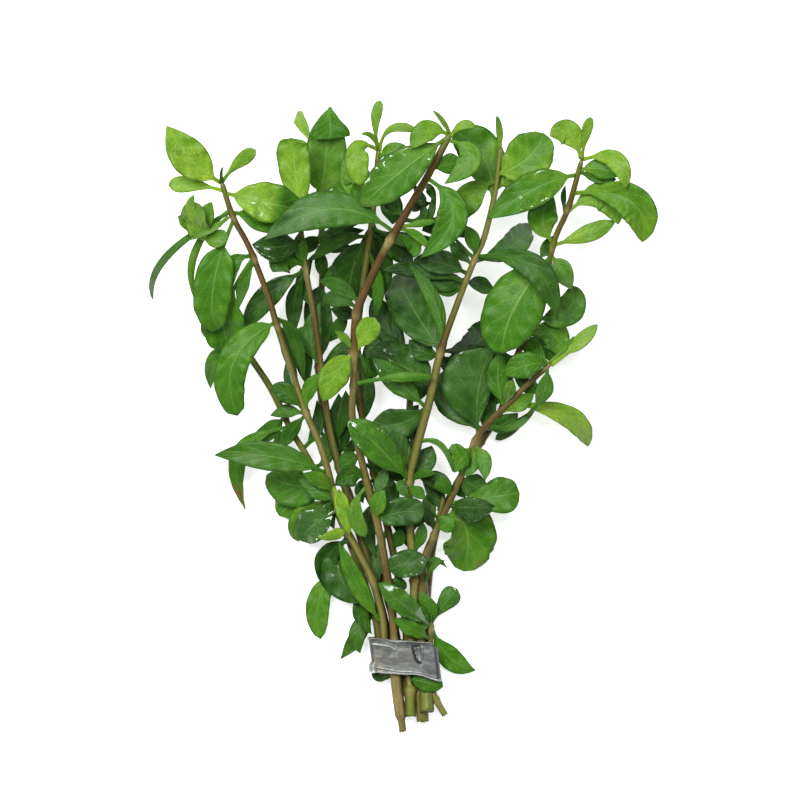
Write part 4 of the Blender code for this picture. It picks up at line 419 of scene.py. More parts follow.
# Blades that start at other blades or at a tip: the stem whose group each is in
HANGING_BLADES = (
    ("h", Leaf((-23.4, 174.2, 19.4), (-23.6, 169.4, 20.6), (-23.4, 164.0, 20.4), 12.6, FAN,
               Look(0.42, 0.1, 0.1))),
    ("e", Leaf((41.9, 79.8, 21.6), (36.4, 74.2, 11.0), (29.2, 68.8, 3.0), 3.6, SPOON, Look(0.36, 0.7, 0.1))),
    ("a", Leaf((-63.0, 132.0, 34.0), (-65.2, 138.4, 39.0), (-66.4, 143.6, 41.0), 8.4, BLOCK,
               Look(0.72, 0.65, 0.6))),
    ("a", Leaf((-62.6, 132.6, 34.0), (-61.8, 138.8, 38.0), (-60.4, 143.6, 40.0), 5.2, LANCE,
               Look(0.64, 0.2, 0.3))),
    ("a", Leaf((-64.0, 133.0, 34.0), (-68.0, 137.4, 37.0), (-71.0, 139.2, 37.5), 4.4, LANCE,
               Look(0.58, 0.2, 0.3))),
    ("a", Leaf((-63.6, 134.0, 35.0), (-66.8, 140.4, 40.0), (-65.8, 145.8, 42.0), 3.6, LANCE,
               Look(0.74, 0.3, 0.1))),
    ("a", Leaf((-63.0, 132.4, 33.0), (-59.0, 132.6, 35.0), (-56.4, 134.8, 35.0), 5.4, BLUNT,
               Look(0.58, 0.3, 0.1))),
    ("a", Leaf((-55.4, 139.0, 34.6), (-60.2, 135.6, 37.0), (-68.0, 131.6, 36.0), 2.4, LANCE,
               Look(0.68, 0.4, 0.1))),
    ("a", Leaf((-57.2, 150.0, 37.0), (-57.4, 152.2, 38.0), (-57.0, 154.6, 39.0), 0.9, RIBBON,
               Look(0.2, 0.2, 0))),
)

# Tones along each stem from tip to cut end: y, brown, green, pale
STEM_TONES = {
    "a": ((151, 0.1, 0.9, 0.3), (146, 0.5, 0.4, 0.1), (136, 0.9, 0.0, 0.1), (104, 0.75, 0.05, 0.2),
          (96, 0.3, 0.3, 0.4), (60, 0.15, 0.5, 0.5), (20, 0.2, 0.3, 0.5)),
    "b": ((165, 0.1, 0.8, 0.3), (158, 0.8, 0.1, 0.1), (134, 1.0, 0.0, 0.05), (131.5, 0.3, 0.0, 0.8),
          (127, 0.9, 0.0, 0.1), (99, 0.9, 0.0, 0.2), (95, 0.5, 0.1, 0.6), (60, 0.6, 0.0, 0.5),
          (42, 0.3, 0.0, 0.7), (28, 1.0, 0.0, 0.3), (22, 0.7, 0.1, 0.2), (-6, 0.4, 0.0, 0.8),
          (-14, 0.4, 0.0, 1.0), (-19, 0.4, 0.1, 0.6), (-24, 0.1, 0.4, 0.5)),
    "c": ((161, 0.0, 1.0, 0.4), (146, 0.1, 0.7, 0.4), (124, 0.2, 0.4, 0.5), (110, 0.4, 0.3, 0.2),
          (99, 0.8, 0.0, 0.1), (94, 0.2, 0.4, 0.5), (70, 0.2, 0.5, 0.4), (20, 0.0, 0.8, 0.5),
          (-9, 0.2, 0.6, 0.4), (-11, 0.0, 1.0, 0.4), (-19, 0.1, 1.0, 0.2)),
    "d": ((157, 0.1, 0.8, 0.3), (150, 0.6, 0.3, 0.1), (141, 1.0, 0.0, 0.1), (130, 0.4, 0.6, 0.1),
          (120, 0.6, 0.3, 0.1), (98, 0.9, 0.0, 0.1), (20, 0.5, 0.2, 0.2), (-8, 0.1, 0.9, 0.2),
          (-18, 0.0, 1.0, 0.3)),
    "e": ((93, 0.7, 0.2, 0.3), (72, 0.9, 0.0, 0.2), (66, 0.2, 0.5, 0.5), (50, 0.9, 0.0, 0.3),
          (30, 0.6, 0.1, 0.4), (-10, 0.4, 0.4, 0.4), (-20, 0.2, 0.5, 0.4)),
    "f": ((96, 0.3, 0.6, 0.1), (-10, 0.3, 0.3, 0.2)),
    "g": ((143, 0.4, 0.5, 0.2), (123, 0.4, 0.2, 0.6), (105, 0.8, 0.0, 0.2), (60, 0.4, 0.3, 0.3),
          (-10, 0.5, 0.2, 0.2)),
    "h": ((161, 0.9, 0.2, 0.0), (-12, 0.9, 0.1, 0.0)),
    "i": ((92, 0.4, 0.6, 0.0), (-12, 0.6, 0.3, 0.1)),
    "j": ((51, 0.3, 0.6, 0.2), (-11, 0.8, 0.2, 0.3), (-14, 0.0, 1.0, 0.4), (-19, 0.0, 1.0, 0.4)),
    "k": ((161, 0.4, 0.5, 0.2), (80, 0.7, 0.2, 0.1), (-13, 0.5, 0.2, 0.3)),
}

# Where a stem is thicker or thinner than its taper: stem, from y, to y, share
STEM_GIRTHS = (
    ("b", 90.0, 175.0, 1.4),
    ("b", -20.0, 5.0, 1.28),
    ("b", -30.0, -20.0, 0.8),
    ("k", -30.0, 3.0, 1.5),
    ("c", 60.0, 100.0, 1.15),
    ("c", -9.6, -2.0, 0.66),
    ("c", -30.0, -9.6, 1.15),
    ("d", -30.0, -8.0, 1.7),
    ("e", -30.0, -11.5, 1.45),
    ("f", 75.0, 100.0, 1.15),
)
GIRTH_FADE = 0.7

# The faces across and along a blade, and how its columns crowd towards the middle
BLADE_COLUMNS = 10
BLADE_ROWS = 28
SMALL_COLUMNS = 8
SMALL_ROWS = 16
COLUMN_SPREAD = 1.4

# Where the random places of the smaller and the hanging blades start
SMALL_SEED = 60.0
HANGING_SEED = 260.0

# Half widths of a stalk and of a tip, and how far out from the stem's middle a
# stalk starts, as a share of the stem's radius
STALK_HALF_WIDTH = 0.62
TIP_HALF_WIDTH = 0.04
STALK_SINK = 0.55

# A blade's fold along its midrib, and its sideways bow and roll, both of which
# fade as blades get longer
FOLD = 0.14
FOLD_SPREAD = 0.5
FOLD_ROUNDING = 0.35
BOW = 0.16
ROLL = 1.5
ROLL_FADE = 0.75
ROLL_RATE = 3.0
LONG_BLADE = 26.0

# The waves of a blade's margin, which are highest where the blade is wide, and
# the slow rise and fall of each of its sides
WAVE_LENGTH = 6.5
WAVE_HEIGHT = 0.52
WAVE_POWER = 1.7
WAVE_RATE = 5.0
WAVE_WIDTH = 4.0
WAVE_MOST = 1.3
WAVE_SHIFT = 0.37
WAVE_SIDE_SHIFT = 0.19
DRIFT = 0.9

# A blade's uneven margin, and the tears and the curl that decay brings
MARGIN_WOBBLE = 0.07
WOBBLE_LENGTH = 5.5
TORN_DEPTH = 2.4
TORN_START = 0.6
TORN_LENGTH = 1.1
CURL = 2.2
CURL_POWER = 4

# The least height of a blade. A midrib that runs straight up has a side shorter
# than the second value, and is given one
FLOOR_CLEARANCE = 0.3
SMALLEST_SIDE = 1e-6

# The midrib's half width and how it thins towards the tip
RIB_HALF_WIDTH = 0.42
RIB_TAPER = 0.72

# How a blade's surface values change over it: in patches, at its foot, past its
# middle, where painted shade darkens it, and towards its tip and margin
PATCH_LIGHT = 0.12
BASE_LIGHT = 0.22
BASE_POWER = 3
TIP_SHADE_START = 0.6
TIP_SHADE_RATE = 6.0
SHEEN_FOOT = 0.35
SHEEN_RISE = 0.8
SHEEN_PATCH = 0.5
WET_LEVEL = 0.75
WET_PATCH = 1.1
DECAY_START = 0.45
DECAY_RATE = 2.0
DECAY_MARGIN = 0.1

# Leaves lighter than the first are young ones, and darker than the second old ones, along
# with those whose darkness is painted shade deep between the stems
YOUNG_LIGHT = 0.7
OLD_LIGHT = 0.36

# The stems' sides, the step between their rings, how square they are, and their
# least height
STEM_SIDES = 16
STEM_STEP = 0.7
STEM_SQUARENESS = 0.06
STEM_CLEARANCE = 0.1

# The first rings at a stem's tip, as shares of its radius
TIP_ROUNDING = (0.35, 0.7, 0.9)

# The swelling of a leaf joint, its narrow rim, and the pale ring just below it
NODE_SWELL = 0.17
NODE_REACH = 1.6
RIM_SWELL = 0.13
RIM_REACH = 0.5
RING_REACH = 0.9
RING_DROP = 0.9
RING_PALENESS = 0.6

# A cut end: its slant, its ragged rim, and the pale hollow inside the rim
CUT_SLANT = 0.15
CUT_RAGGEDNESS = 0.5
CUT_INNER = 0.72
CUT_HOLLOW = 0.25
CUT_PALENESS = 0.4

# Painted light on the stems: how much of a stem's tone comes from facing up, a painted
# highlight along its top and painted shade on its flanks, the rest coming from its fibres
TOP_LIGHT_SHARE = 0.6
TOP_LIGHT_POWER = 1.2

# The metal strip: an outline with rounded corners, wound about one and a third
# times from its right side, so that its start laps over its end
STRIP_WIDTH = 20.6
STRIP_HEIGHT = 10.8
STRIP_DEPTH = 10.8
STRIP_CORNER = 0.9
STRIP_TURNS = 1.36
STRIP_START = 14.0
STRIP_GAP = 0.5
LAP_LEVEL = 0.64
LAP_DROP = 0.3
STRIP_AROUND = 440
STRIP_ACROSS = 60
STRIP_CLEARANCE = 0.45

# Where the strip lies, and how it slopes, leans and droops to the right, where
# its upper corner is bevelled
STRIP_X = 0.15
STRIP_Y = -0.45
STRIP_SLOPE = 0.077
STRIP_LEAN = 0.11
DROOP_START = 5.0
DROOP = 0.25
BEVEL_START = 8.9
BEVEL = 1.3

# Creases in the strip's upper side: the points of each, its height and its width
CREASES = (
    (((-9.6, 3.4), (-4.6, 3.3), (-3.2, 2.7), (-2.7, 2.0)), 0.3, 0.2),
    (((-4.2, 5.0), (0.4, 5.1), (0.8, 4.5)), 0.2, 0.18),
    (((-4.0, 4.6), (-1.4, 4.6)), 0.12, 0.16),
    (((-2.4, 3.2), (-2.2, -1.0)), 0.05, 0.3),
    (((-9.4, -3.9), (-3.0, -4.5), (5.6, -4.5)), 0.2, 0.16),
)
# How bright the painted highlight along each crease's ridge is
CREASE_SHINE = 3.0

# The dent in the strip: its hollow, its jagged edge darkened with painted shade, and the
# flutes in it brightened with a painted highlight
DENT_MIDDLE = (4.5, 1.2)
DENT_REACH = (1.4, 2.8)
DENT_DEPTH = 0.55
DENT_EDGE = ((4.8, 4.1), (3.1, 3.8), (3.1, 2.6), (3.5, 0.6), (3.6, 0.0), (4.3, -1.2), (5.0, -1.4))
EDGE_WIDTH = 0.34
EDGE_DEPTH = 0.3
EDGE_JAG = 0.3
EDGE_SHADE = 1.3
DENT_FLUTES = (((4.0, -0.6), (3.8, 3.4)), ((4.7, -0.8), (4.9, 3.6)), ((5.4, 0.4), (6.0, 3.7)))
FLUTE_WIDTH = 0.26
FLUTE_HEIGHT = 0.14
FLUTE_SHINE = 0.3

# Broad and small unevenness of the strip's upper side
SWELL_HEIGHT = 0.16
DIMPLE_HEIGHT = 0.05

# The strip's ragged outer end, its uneven rims and the curl of its lower right corner
END_LENGTH = 1.2
END_RAGGEDNESS = 0.6
RIM_POWER = 14
RIM_RISE = 0.3
RIM_RISE_SPREAD = 0.35
RIM_WAVE = 0.2
CORNER_START = 7.0
CORNER_SPREAD = 3.0
CORNER_RISE = 0.9

# The tab at the lower left, where the strip stands off the stems, with a painted highlight on it
TAB_REACH = 1.1
TAB_RATE = 4.0
TAB_START = 1.6
TAB_SHINE = 0.7

# Where the painted highlight on each rim starts and over how much of the depth it sets in
LOWER_SHINE = (0.94, 0.04)
UPPER_SHINE = (0.965, 0.03)
UPPER_SHINE_SHARE = 0.5

# Kinds of socket, and colours that the finishes mix in
COLOUR = "NodeSocketColor"
VALUE = "NodeSocketFloat"
WHITE = (1.0, 1.0, 1.0, 1.0)
PAINTED_SHEEN_TONE = (0.1, 0.17, 0.07, 1.0)
VEIN_TONE = (0.42, 0.6, 0.2, 1.0)
MARGIN_TONE = (0.015, 0.05, 0.008, 1.0)
BROWN_ROT_TONE = (0.16, 0.12, 0.02, 1.0)
BLACK_ROT_TONE = (0.012, 0.012, 0.006, 1.0)
BROWN_STEM_TONE = (0.088, 0.035, 0.006, 1.0)
GREEN_STEM_TONE = (0.13, 0.2, 0.014, 1.0)
PALE_STEM_TONE = (0.3, 0.24, 0.08, 1.0)
SPECK_TONE = (0.05, 0.035, 0.012, 1.0)
STAIN_TONE = (0.2, 0.17, 0.11, 1.0)
BLUISH_METAL_TONE = (0.12, 0.12, 0.145, 1.0)
PAINTED_HIGHLIGHT_TONE = (0.6, 0.64, 0.66, 1.0)
PAINTED_SHADE_TONE = (0.012, 0.012, 0.012, 1.0)
MOTTLE_TONE = (0.86, 0.87, 0.88, 1.0)

# How fine each pattern is, as the scale of its noise
VEIN_WOBBLE_SCALE = 260.0
FILM_SCALE = 190.0
RIPPLE_SCALE = 2600.0
LEAF_PATCH_SCALE = 170.0
CELL_SCALE = 1500.0
ROT_SCALE = 420.0
STEM_FIBRE_SCALE = 2600.0
STEM_PATCH_SCALE = 240.0
SPECK_SCALE = 1900.0
CLOUD_SCALE = 210.0
SCRATCH_SCALE = 2600.0
PIT_SCALE = 2400.0
FLOOR_SCALE = 9.0

# How deep the relief of each finish is, in metres
LEAF_BUMP = 0.0002
STEM_BUMP = 0.00012
METAL_BUMP = 0.00012

PLANT_SPECULAR = 0.22
FILM_ROUGHNESS = 0.1
STEM_WETNESS = 0.4
STEM_FIBRE_AND_LIGHT_STRENGTH = 0.9
METALLIC = 0.6
FLOOR_GLOW = 0.62

# The leaf finishes: how strongly the veins show and how many side veins there are
LEAF_FINISHES = {"young_leaf": (0.55, 6.0), "leaf": (0.5, 5.5), "old_leaf": (0.3, 5.0)}

# The soft lights, in metres: name, place, size and power. All aim at one point
LAMPS = (
    ("large soft light", (-0.45, 0.6, 1.4), 0.6, 23.0),
    ("small soft light", (0.25, 0.35, 1.7), 0.16, 5.5),
)
LAMP_AIM = (0.0, 0.08, 0.02)

# The light of the room, which is weaker in reflections, and the floor's half width
ROOM_TONE = (0.97, 0.985, 1.0, 1.0)
ROOM_LIGHT = 0.33
ROOM_REFLECTION_LOSS = -0.2
FLOOR_HALF_WIDTH = 2.0

# The camera looks straight down on this point and sees this width at this height
VIEW_CENTRE = (-1.3, 81.5)
VIEW_WIDTH = 252.8
VIEW_LEVEL = 25.0
SENSOR = 36.0


class HygrophilaSizes(bpy.types.PropertyGroup):
    """Sizes a user of the bunch may change."""

    blade_thickness: bpy.props.FloatProperty(
        name="Blade thickness", description="Thickness of a blade between its veins",
        default=0.24 * MM, subtype="DISTANCE", unit="LENGTH")
    rib_thickness: bpy.props.FloatProperty(
        name="Midrib thickness", description="Thickness of a leaf at the foot of its midrib",
        default=0.9 * MM, subtype="DISTANCE", unit="LENGTH")
    strip_thickness: bpy.props.FloatProperty(
        name="Strip thickness", description="Thickness of the metal strip",
        default=0.4 * MM, subtype="DISTANCE", unit="LENGTH")
    camera_height: bpy.props.FloatProperty(
        name="Camera height", description="Height of the camera above the surface",
        default=2.0, subtype="DISTANCE", unit="LENGTH")


class HygrophilaColours(bpy.types.PropertyGroup):
    """Colours a user of the bunch may change."""

    young: bpy.props.FloatVectorProperty(
        name="Young leaf", description="Colour of the lightest blades",
        default=(0.29, 0.48, 0.035, 1.0), size=4, subtype="COLOR", min=0.0, max=1.0)
    middle: bpy.props.FloatVectorProperty(
        name="Leaf", description="Colour of the ordinary blades",
        default=(0.058, 0.2, 0.007, 1.0), size=4, subtype="COLOR", min=0.0, max=1.0)
    # The darkest colour also paints the shade on blades that lie deep between the stems
    dark: bpy.props.FloatVectorProperty(
        name="Old leaf", description="Colour of the darkest blades",
        default=(0.007, 0.034, 0.003, 1.0), size=4, subtype="COLOR", min=0.0, max=1.0)
    stem: bpy.props.FloatVectorProperty(
        name="Stem", description="Olive colour of the stems",
        default=(0.105, 0.1, 0.016, 1.0), size=4, subtype="COLOR", min=0.0, max=1.0)
    metal: bpy.props.FloatVectorProperty(
        name="Metal strip", description="Colour of the soft metal",
        default=(0.125, 0.131, 0.122, 1.0), size=4, subtype="COLOR", min=0.0, max=1.0)
    floor: bpy.props.FloatVectorProperty(
        name="Floor", description="Colour of the surface the bunch lies on",
        default=(0.93, 0.93, 0.93, 1.0), size=4, subtype="COLOR", min=0.0, max=1.0)


def limited(value, low=0.0, high=1.0):
    """The value, held between two ends."""
    return min(max(value, low), high)


def bell(far, reach):
    """1 at no distance, falling smoothly to almost 0 past the reach."""
    return math.exp(-(far / reach) ** 2)


def waver(x, y, z):
    """A smooth random value. The odd factors at its calls only choose where it is read."""
    return noise.noise(Vector((x, y, z)))


class Graph:
    """Adds nodes to a node tree and links them."""

    def __init__(self, tree):
        self.tree = tree

    def put(self, target, value):
        """Link a socket, or set a plain value, on an input."""
        if isinstance(value, bpy.types.NodeSocket):
            self.tree.links.new(value, target)
        else:
            target.default_value = value

    def add(self, kind, settings=None, **inputs):
        """A node with its settings, and inputs named with _ for a space."""
        made = self.tree.nodes.new(kind)
        for name, value in (settings or {}).items():
            setattr(made, name, value)
        for name, value in inputs.items():
            self.put(made.inputs[name.replace("_", " ")], value)
        return made

    def group(self, tree, **inputs):
        """A node group placed in the tree."""
        return self.add("ShaderNodeGroup", {"node_tree": tree}, **inputs)

    def math(self, operation, *values, clamp=False):
        """The result of a sum on up to three values."""
        made = self.add("ShaderNodeMath", {"operation": operation, "use_clamp": clamp})
        for socket, value in zip(made.inputs, values):
            self.put(socket, value)
        return made.outputs[0]

    def times(self, first, second, clamp=False):
        """Two values multiplied."""
        return self.math("MULTIPLY", first, second, clamp=clamp)

    def line(self, value, factor, start, clamp=False):
        """A value multiplied by a factor and added to a start."""
        return self.math("MULTIPLY_ADD", value, factor, start, clamp=clamp)

    def total(self, *terms):
        """The sum of some values, each multiplied by its own factor."""
        parts = [self.times(value, factor) for value, factor in terms]
        result = parts[0]
        for part in parts[1:]:
            result = self.math("ADD", result, part)
        return result

    def mix(self, share, first, second, blend="MIX"):
        """Two colours mixed by a share."""
        made = self.add("ShaderNodeMix", {"data_type": "RGBA", "blend_type": blend})
        self.put(made.inputs["Factor"], share)
        self.put(made.inputs[6], first)
        self.put(made.inputs[7], second)
        return made.outputs[2]

    def shaded(self, colour, value):
        """A colour multiplied by a value."""
        grey = self.add("ShaderNodeCombineXYZ", X=value, Y=value, Z=value)
        return self.mix(1.0, colour, grey.outputs[0], "MULTIPLY")

    def step(self, value, low, high, reverse=False):
        """A smooth step from 0 to 1 between two values."""
        made = self.add("ShaderNodeMapRange", {"interpolation_type": "SMOOTHSTEP"})
        self.put(made.inputs["Value"], value)
        made.inputs["From Min"].default_value = low
        made.inputs["From Max"].default_value = high
        made.inputs["To Min"].default_value = 1.0 if reverse else 0.0
        made.inputs["To Max"].default_value = 0.0 if reverse else 1.0
        return made.outputs["Result"]

    def noise(self, place, scale, detail, distortion=0.0):
        """A noise value at a place."""
        made = self.add("ShaderNodeTexNoise", Vector=place, Scale=scale, Detail=detail, Distortion=distortion)
        return made.outputs["Fac"]

    def value_of(self, name):
        """A value that the piece carries on its surface."""
        made = self.add("ShaderNodeAttribute", {"attribute_name": name})
        return made.outputs["Fac"]

    def place(self):
        """Object coordinates."""
        return self.add("ShaderNodeTexCoord").outputs["Object"]


def new_group(name, inputs, outputs):
    """A shader node group, its graph, and the sockets of its inputs and outputs."""
    group = bpy.data.node_groups.new(name, "ShaderNodeTree")
    for label, kind, default in inputs:
        socket = group.interface.new_socket(label, in_out="INPUT", socket_type=kind)
        socket.default_value = default
    for label, kind in outputs:
        group.interface.new_socket(label, in_out="OUTPUT", socket_type=kind)
    graph = Graph(group)
    return group, graph, graph.add("NodeGroupInput").outputs, graph.add("NodeGroupOutput").inputs


def veins_group():
    """Masks of the midrib, the curved side veins and the margin of a blade."""
    group, graph, given, result = new_group(
        "blade veins",
        (("Side veins", VALUE, 7.0), ("Sweep", VALUE, 1.9)),
        (("Rib", VALUE), ("Veins", VALUE), ("Margin", VALUE), ("Quilt", VALUE)))
    chart = graph.add("ShaderNodeUVMap", {"uv_map": BLADE_MAP}).outputs["UV"]
    parts = graph.add("ShaderNodeSeparateXYZ", Vector=chart).outputs
    across = graph.math("ABSOLUTE", graph.line(parts["X"], 2.0, -1.0))
    wobble = graph.noise(graph.place(), VEIN_WOBBLE_SCALE, 1.0)
    run = graph.times(parts["Y"], given["Side veins"])
    bend = graph.times(graph.math("POWER", across, 0.8), given["Sweep"])
    order = graph.math("SUBTRACT", graph.math("ADD", run, graph.times(wobble, 0.5)), bend)
    saw = graph.math("FRACT", order)
    tent = graph.math("ABSOLUTE", graph.line(saw, 2.0, -1.0))
    fade = graph.step(across, 0.75, 1.0, reverse=True)
    graph.put(result["Veins"], graph.times(graph.step(tent, 0.86, 1.0), fade))
    rib_width = graph.line(parts["Y"], -0.05, 0.08)
    rib = graph.math("MAXIMUM", graph.math("LESS_THAN", across, rib_width), 0.6)
    soft = graph.step(graph.math("DIVIDE", across, rib_width), 0.4, 1.2, reverse=True)
    graph.put(result["Rib"], graph.times(soft, rib))
    blade = graph.step(parts["Y"], 0.12, 0.3)
    graph.put(result["Margin"], graph.times(graph.step(across, 0.88, 1.0), blade))
    bulge = graph.math("SUBTRACT", 1.0, graph.times(tent, tent))
    graph.put(result["Quilt"], graph.times(bulge, graph.step(across, 0.0, 0.25)))
    return group


def wet_group():
    """A film of water: where it lies and the ripples on it."""
    group, graph, given, result = new_group(
        "wet film",
        (("Wetness", VALUE, 0.5), ("Ripple scale", VALUE, RIPPLE_SCALE)),
        (("Film", VALUE), ("Ripples", VALUE)))
    place = graph.place()
    patches = graph.noise(place, FILM_SCALE, 3.0)
    reach = graph.line(given["Wetness"], -0.5, 0.78)
    film = graph.times(graph.math("SUBTRACT", patches, reach), 6.0, clamp=True)
    ripples = graph.noise(place, given["Ripple scale"], 1.0, 1.4)
    graph.put(result["Film"], film)
    graph.put(result["Ripples"], graph.times(ripples, film))
    return group


def blade_group(veins, wet):
    """Colour, roughness and relief of a blade."""
    group, graph, given, result = new_group(
        "leaf blade",
        (("Light", COLOUR, WHITE), ("Middle", COLOUR, WHITE), ("Dark", COLOUR, WHITE),
         ("Vein strength", VALUE, 0.5), ("Side veins", VALUE, 7.0)),
        (("Colour", COLOUR), ("Roughness", VALUE), ("Height", VALUE), ("Film", VALUE)))
    place = graph.place()
    lines = graph.group(veins, Side_veins=given["Side veins"]).outputs
    film = graph.group(wet, Wetness=graph.value_of(WET)).outputs
    patches = graph.noise(place, LEAF_PATCH_SCALE, 3.0)
    cells = graph.noise(place, CELL_SCALE, 3.0)
    tone = graph.math("ADD", graph.value_of(LIGHT), graph.line(patches, 0.44, -0.23))
    low = graph.times(tone, 2.0, clamp=True)
    high = graph.math("POWER", graph.line(tone, 2.0, -1.0, clamp=True), 1.35)
    base = graph.mix(low, given["Dark"], given["Middle"])
    base = graph.mix(high, base, given["Light"])
    base = graph.shaded(base, graph.line(cells, 0.9, 0.54))
    # Painted sheen: a grey reflection of the light, painted over patches of the blade
    painted_sheen = graph.times(graph.value_of(PAINTED_SHEEN), graph.step(patches, 0.3, 0.62))
    base = graph.mix(graph.times(painted_sheen, 0.6), base, PAINTED_SHEEN_TONE)
    strength = given["Vein strength"]
    pale = graph.mix(0.4, base, VEIN_TONE)
    base = graph.mix(graph.times(lines["Veins"], graph.times(strength, 0.33)), base, pale)
    # Painted shade: the bulges between the side veins are darkened in colour as well as raised
    base = graph.shaded(base, graph.line(lines["Quilt"], -0.13, 1.04))
    base = graph.mix(graph.times(lines["Rib"], strength), base, pale)
    base = graph.mix(graph.times(lines["Margin"], 0.45), base, MARGIN_TONE)
    rot = graph.value_of(DECAY)
    rotten = graph.math("ADD", rot, graph.noise(place, ROT_SCALE, 3.0, 0.6))
    brown = graph.times(graph.math("SUBTRACT", rotten, 0.75), 5.0, clamp=True)
    black = graph.times(graph.math("SUBTRACT", rotten, 1.05), 5.0, clamp=True)
    base = graph.mix(brown, base, BROWN_ROT_TONE)
    graph.put(result["Colour"], graph.mix(black, base, BLACK_ROT_TONE))
    rough = graph.math("ADD", graph.line(film["Film"], -0.3, 0.44), graph.line(cells, 0.2, -0.1))
    graph.put(result["Roughness"], graph.math("ADD", rough, graph.times(rot, 0.2)))
    height = graph.total((lines["Quilt"], 0.34), (lines["Veins"], -0.12), (lines["Rib"], -0.6),
                         (cells, 0.35), (patches, 1.2), (film["Ripples"], 2.1))
    graph.put(result["Height"], height)
    graph.put(result["Film"], film["Film"])
    return group


def stem_group(wet):
    """Colour, roughness and relief of a stem, with a painted highlight along its top and painted shade on its
    flanks.
    """
    group, graph, given, result = new_group(
        "stem bark",
        (("Olive", COLOUR, WHITE), ("Fibre strength", VALUE, 0.5)),
        (("Colour", COLOUR), ("Roughness", VALUE), ("Height", VALUE), ("Film", VALUE)))
    place = graph.place()
    film = graph.group(wet, Wetness=STEM_WETNESS).outputs
    stretch = graph.add("ShaderNodeMapping", Vector=place, Scale=(1.0, 0.08, 1.0))
    fibres = graph.noise(stretch.outputs["Vector"], STEM_FIBRE_SCALE, 3.0)
    patches = graph.noise(place, STEM_PATCH_SCALE, 3.0)
    specks = graph.noise(place, SPECK_SCALE, 2.0)
    base = graph.mix(graph.value_of(BROWN), given["Olive"], BROWN_STEM_TONE)
    base = graph.mix(graph.value_of(GREEN), base, GREEN_STEM_TONE)
    base = graph.mix(graph.value_of(PALE), base, PALE_STEM_TONE)
    # The fibre value adds a painted highlight on the stem's top and painted shade on its flanks to the fibre
    # streaks
    top_light_and_streak = graph.line(graph.value_of(FIBRE_AND_TOP_LIGHT), 1.12, 0.06)
    fine = graph.line(fibres, 0.8, 0.6)
    shade = graph.times(graph.times(top_light_and_streak, fine), graph.line(patches, 0.6, 0.7))
    base = graph.mix(given["Fibre strength"], base, graph.shaded(base, shade))
    dots = graph.step(specks, 0.66, 0.74)
    graph.put(result["Colour"], graph.mix(graph.times(dots, 0.5), base, SPECK_TONE))
    graph.put(result["Roughness"], graph.line(film["Film"], -0.2, 0.4))
    graph.put(result["Height"], graph.total((fibres, 0.7), (patches, 0.8), (film["Ripples"], 0.6)))
    graph.put(result["Film"], film["Film"])
    return group


def new_material(name):
    """A material, its graph and the inputs of its Principled shader."""
    material = bpy.data.materials.new(name)
    material.use_nodes = True
    tree = material.node_tree
    return material, Graph(tree), tree.nodes["Principled BSDF"].inputs


def plant_material(name, group, bump_depth, **inputs):
    """A material fed by a group's colour, roughness, relief and film of water."""
    material, graph, shader = new_material(name)
    surface = graph.group(group, **inputs).outputs
    bump = graph.add("ShaderNodeBump", Strength=1.0, Distance=bump_depth, Height=surface["Height"])
    graph.put(shader["Base Color"], surface["Colour"])
    graph.put(shader["Roughness"], surface["Roughness"])
    graph.put(shader["Normal"], bump.outputs["Normal"])
    graph.put(shader["Coat Weight"], surface["Film"])
    graph.put(shader["Coat Roughness"], FILM_ROUGHNESS)
    graph.put(shader["Specular IOR Level"], PLANT_SPECULAR)
    return material


def metal_material(colour):
    """Soft dull metal with scratches and stains, and with painted highlights and painted shade on the strip's
    marks.
    """
    material, graph, shader = new_material("metal")
    place = graph.place()
    clouds = graph.noise(place, CLOUD_SCALE, 4.0, 0.4)
    turned = graph.add("ShaderNodeMapping", Vector=place, Scale=(0.09, 1.0, 1.0), Rotation=(0.0, 0.0, 0.15))
    scratches = graph.noise(turned.outputs["Vector"], SCRATCH_SCALE, 4.0)
    pits = graph.noise(place, PIT_SCALE, 2.0)
    x = graph.add("ShaderNodeSeparateXYZ", Vector=place).outputs["X"]
    left = graph.step(x, -0.012, 0.010, reverse=True)
    stain = graph.times(graph.step(clouds, 0.45, 0.7), left)
    base = graph.mix(graph.times(stain, 0.55), colour, STAIN_TONE)
    right = graph.step(x, 0.004, 0.011)
    base = graph.mix(graph.times(right, 0.4), base, BLUISH_METAL_TONE)
    shade = graph.times(graph.line(scratches, 0.3, 0.85), graph.line(clouds, 0.6, 0.7))
    base = graph.shaded(base, shade)
    # Painted light carried on the strip: highlights on the creases, flutes, rims and tab, painted shade along
    # the dent's edge
    painted_light = graph.value_of(PAINTED_LIGHT)
    base = graph.mix(graph.times(painted_light, 0.7, clamp=True), base, PAINTED_HIGHLIGHT_TONE)
    base = graph.mix(graph.times(painted_light, -0.8, clamp=True), base, PAINTED_SHADE_TONE)
    graph.put(shader["Base Color"], base)
    graph.put(shader["Roughness"], graph.line(clouds, 0.2, 0.36))
    height = graph.total((scratches, 0.25), (clouds, 1.5), (pits, 0.4))
    bump = graph.add("ShaderNodeBump", Strength=0.8, Distance=METAL_BUMP, Height=height)
    graph.put(shader["Normal"], bump.outputs["Normal"])
    graph.put(shader["Metallic"], METALLIC)
    return material


def floor_material(colour):
    """A smooth pale surface with the faintest mottling."""
    material, graph, shader = new_material("floor")
    clouds = graph.noise(graph.place(), FLOOR_SCALE, 2.0)
    graph.put(shader["Base Color"], graph.mix(graph.times(clouds, 0.04), colour, MOTTLE_TONE))
    graph.put(shader["Roughness"], 0.7)
    graph.put(shader["Specular IOR Level"], 0.1)
    graph.put(shader["Emission Color"], WHITE)
    graph.put(shader["Emission Strength"], FLOOR_GLOW)
    return material


FINISHES = {}


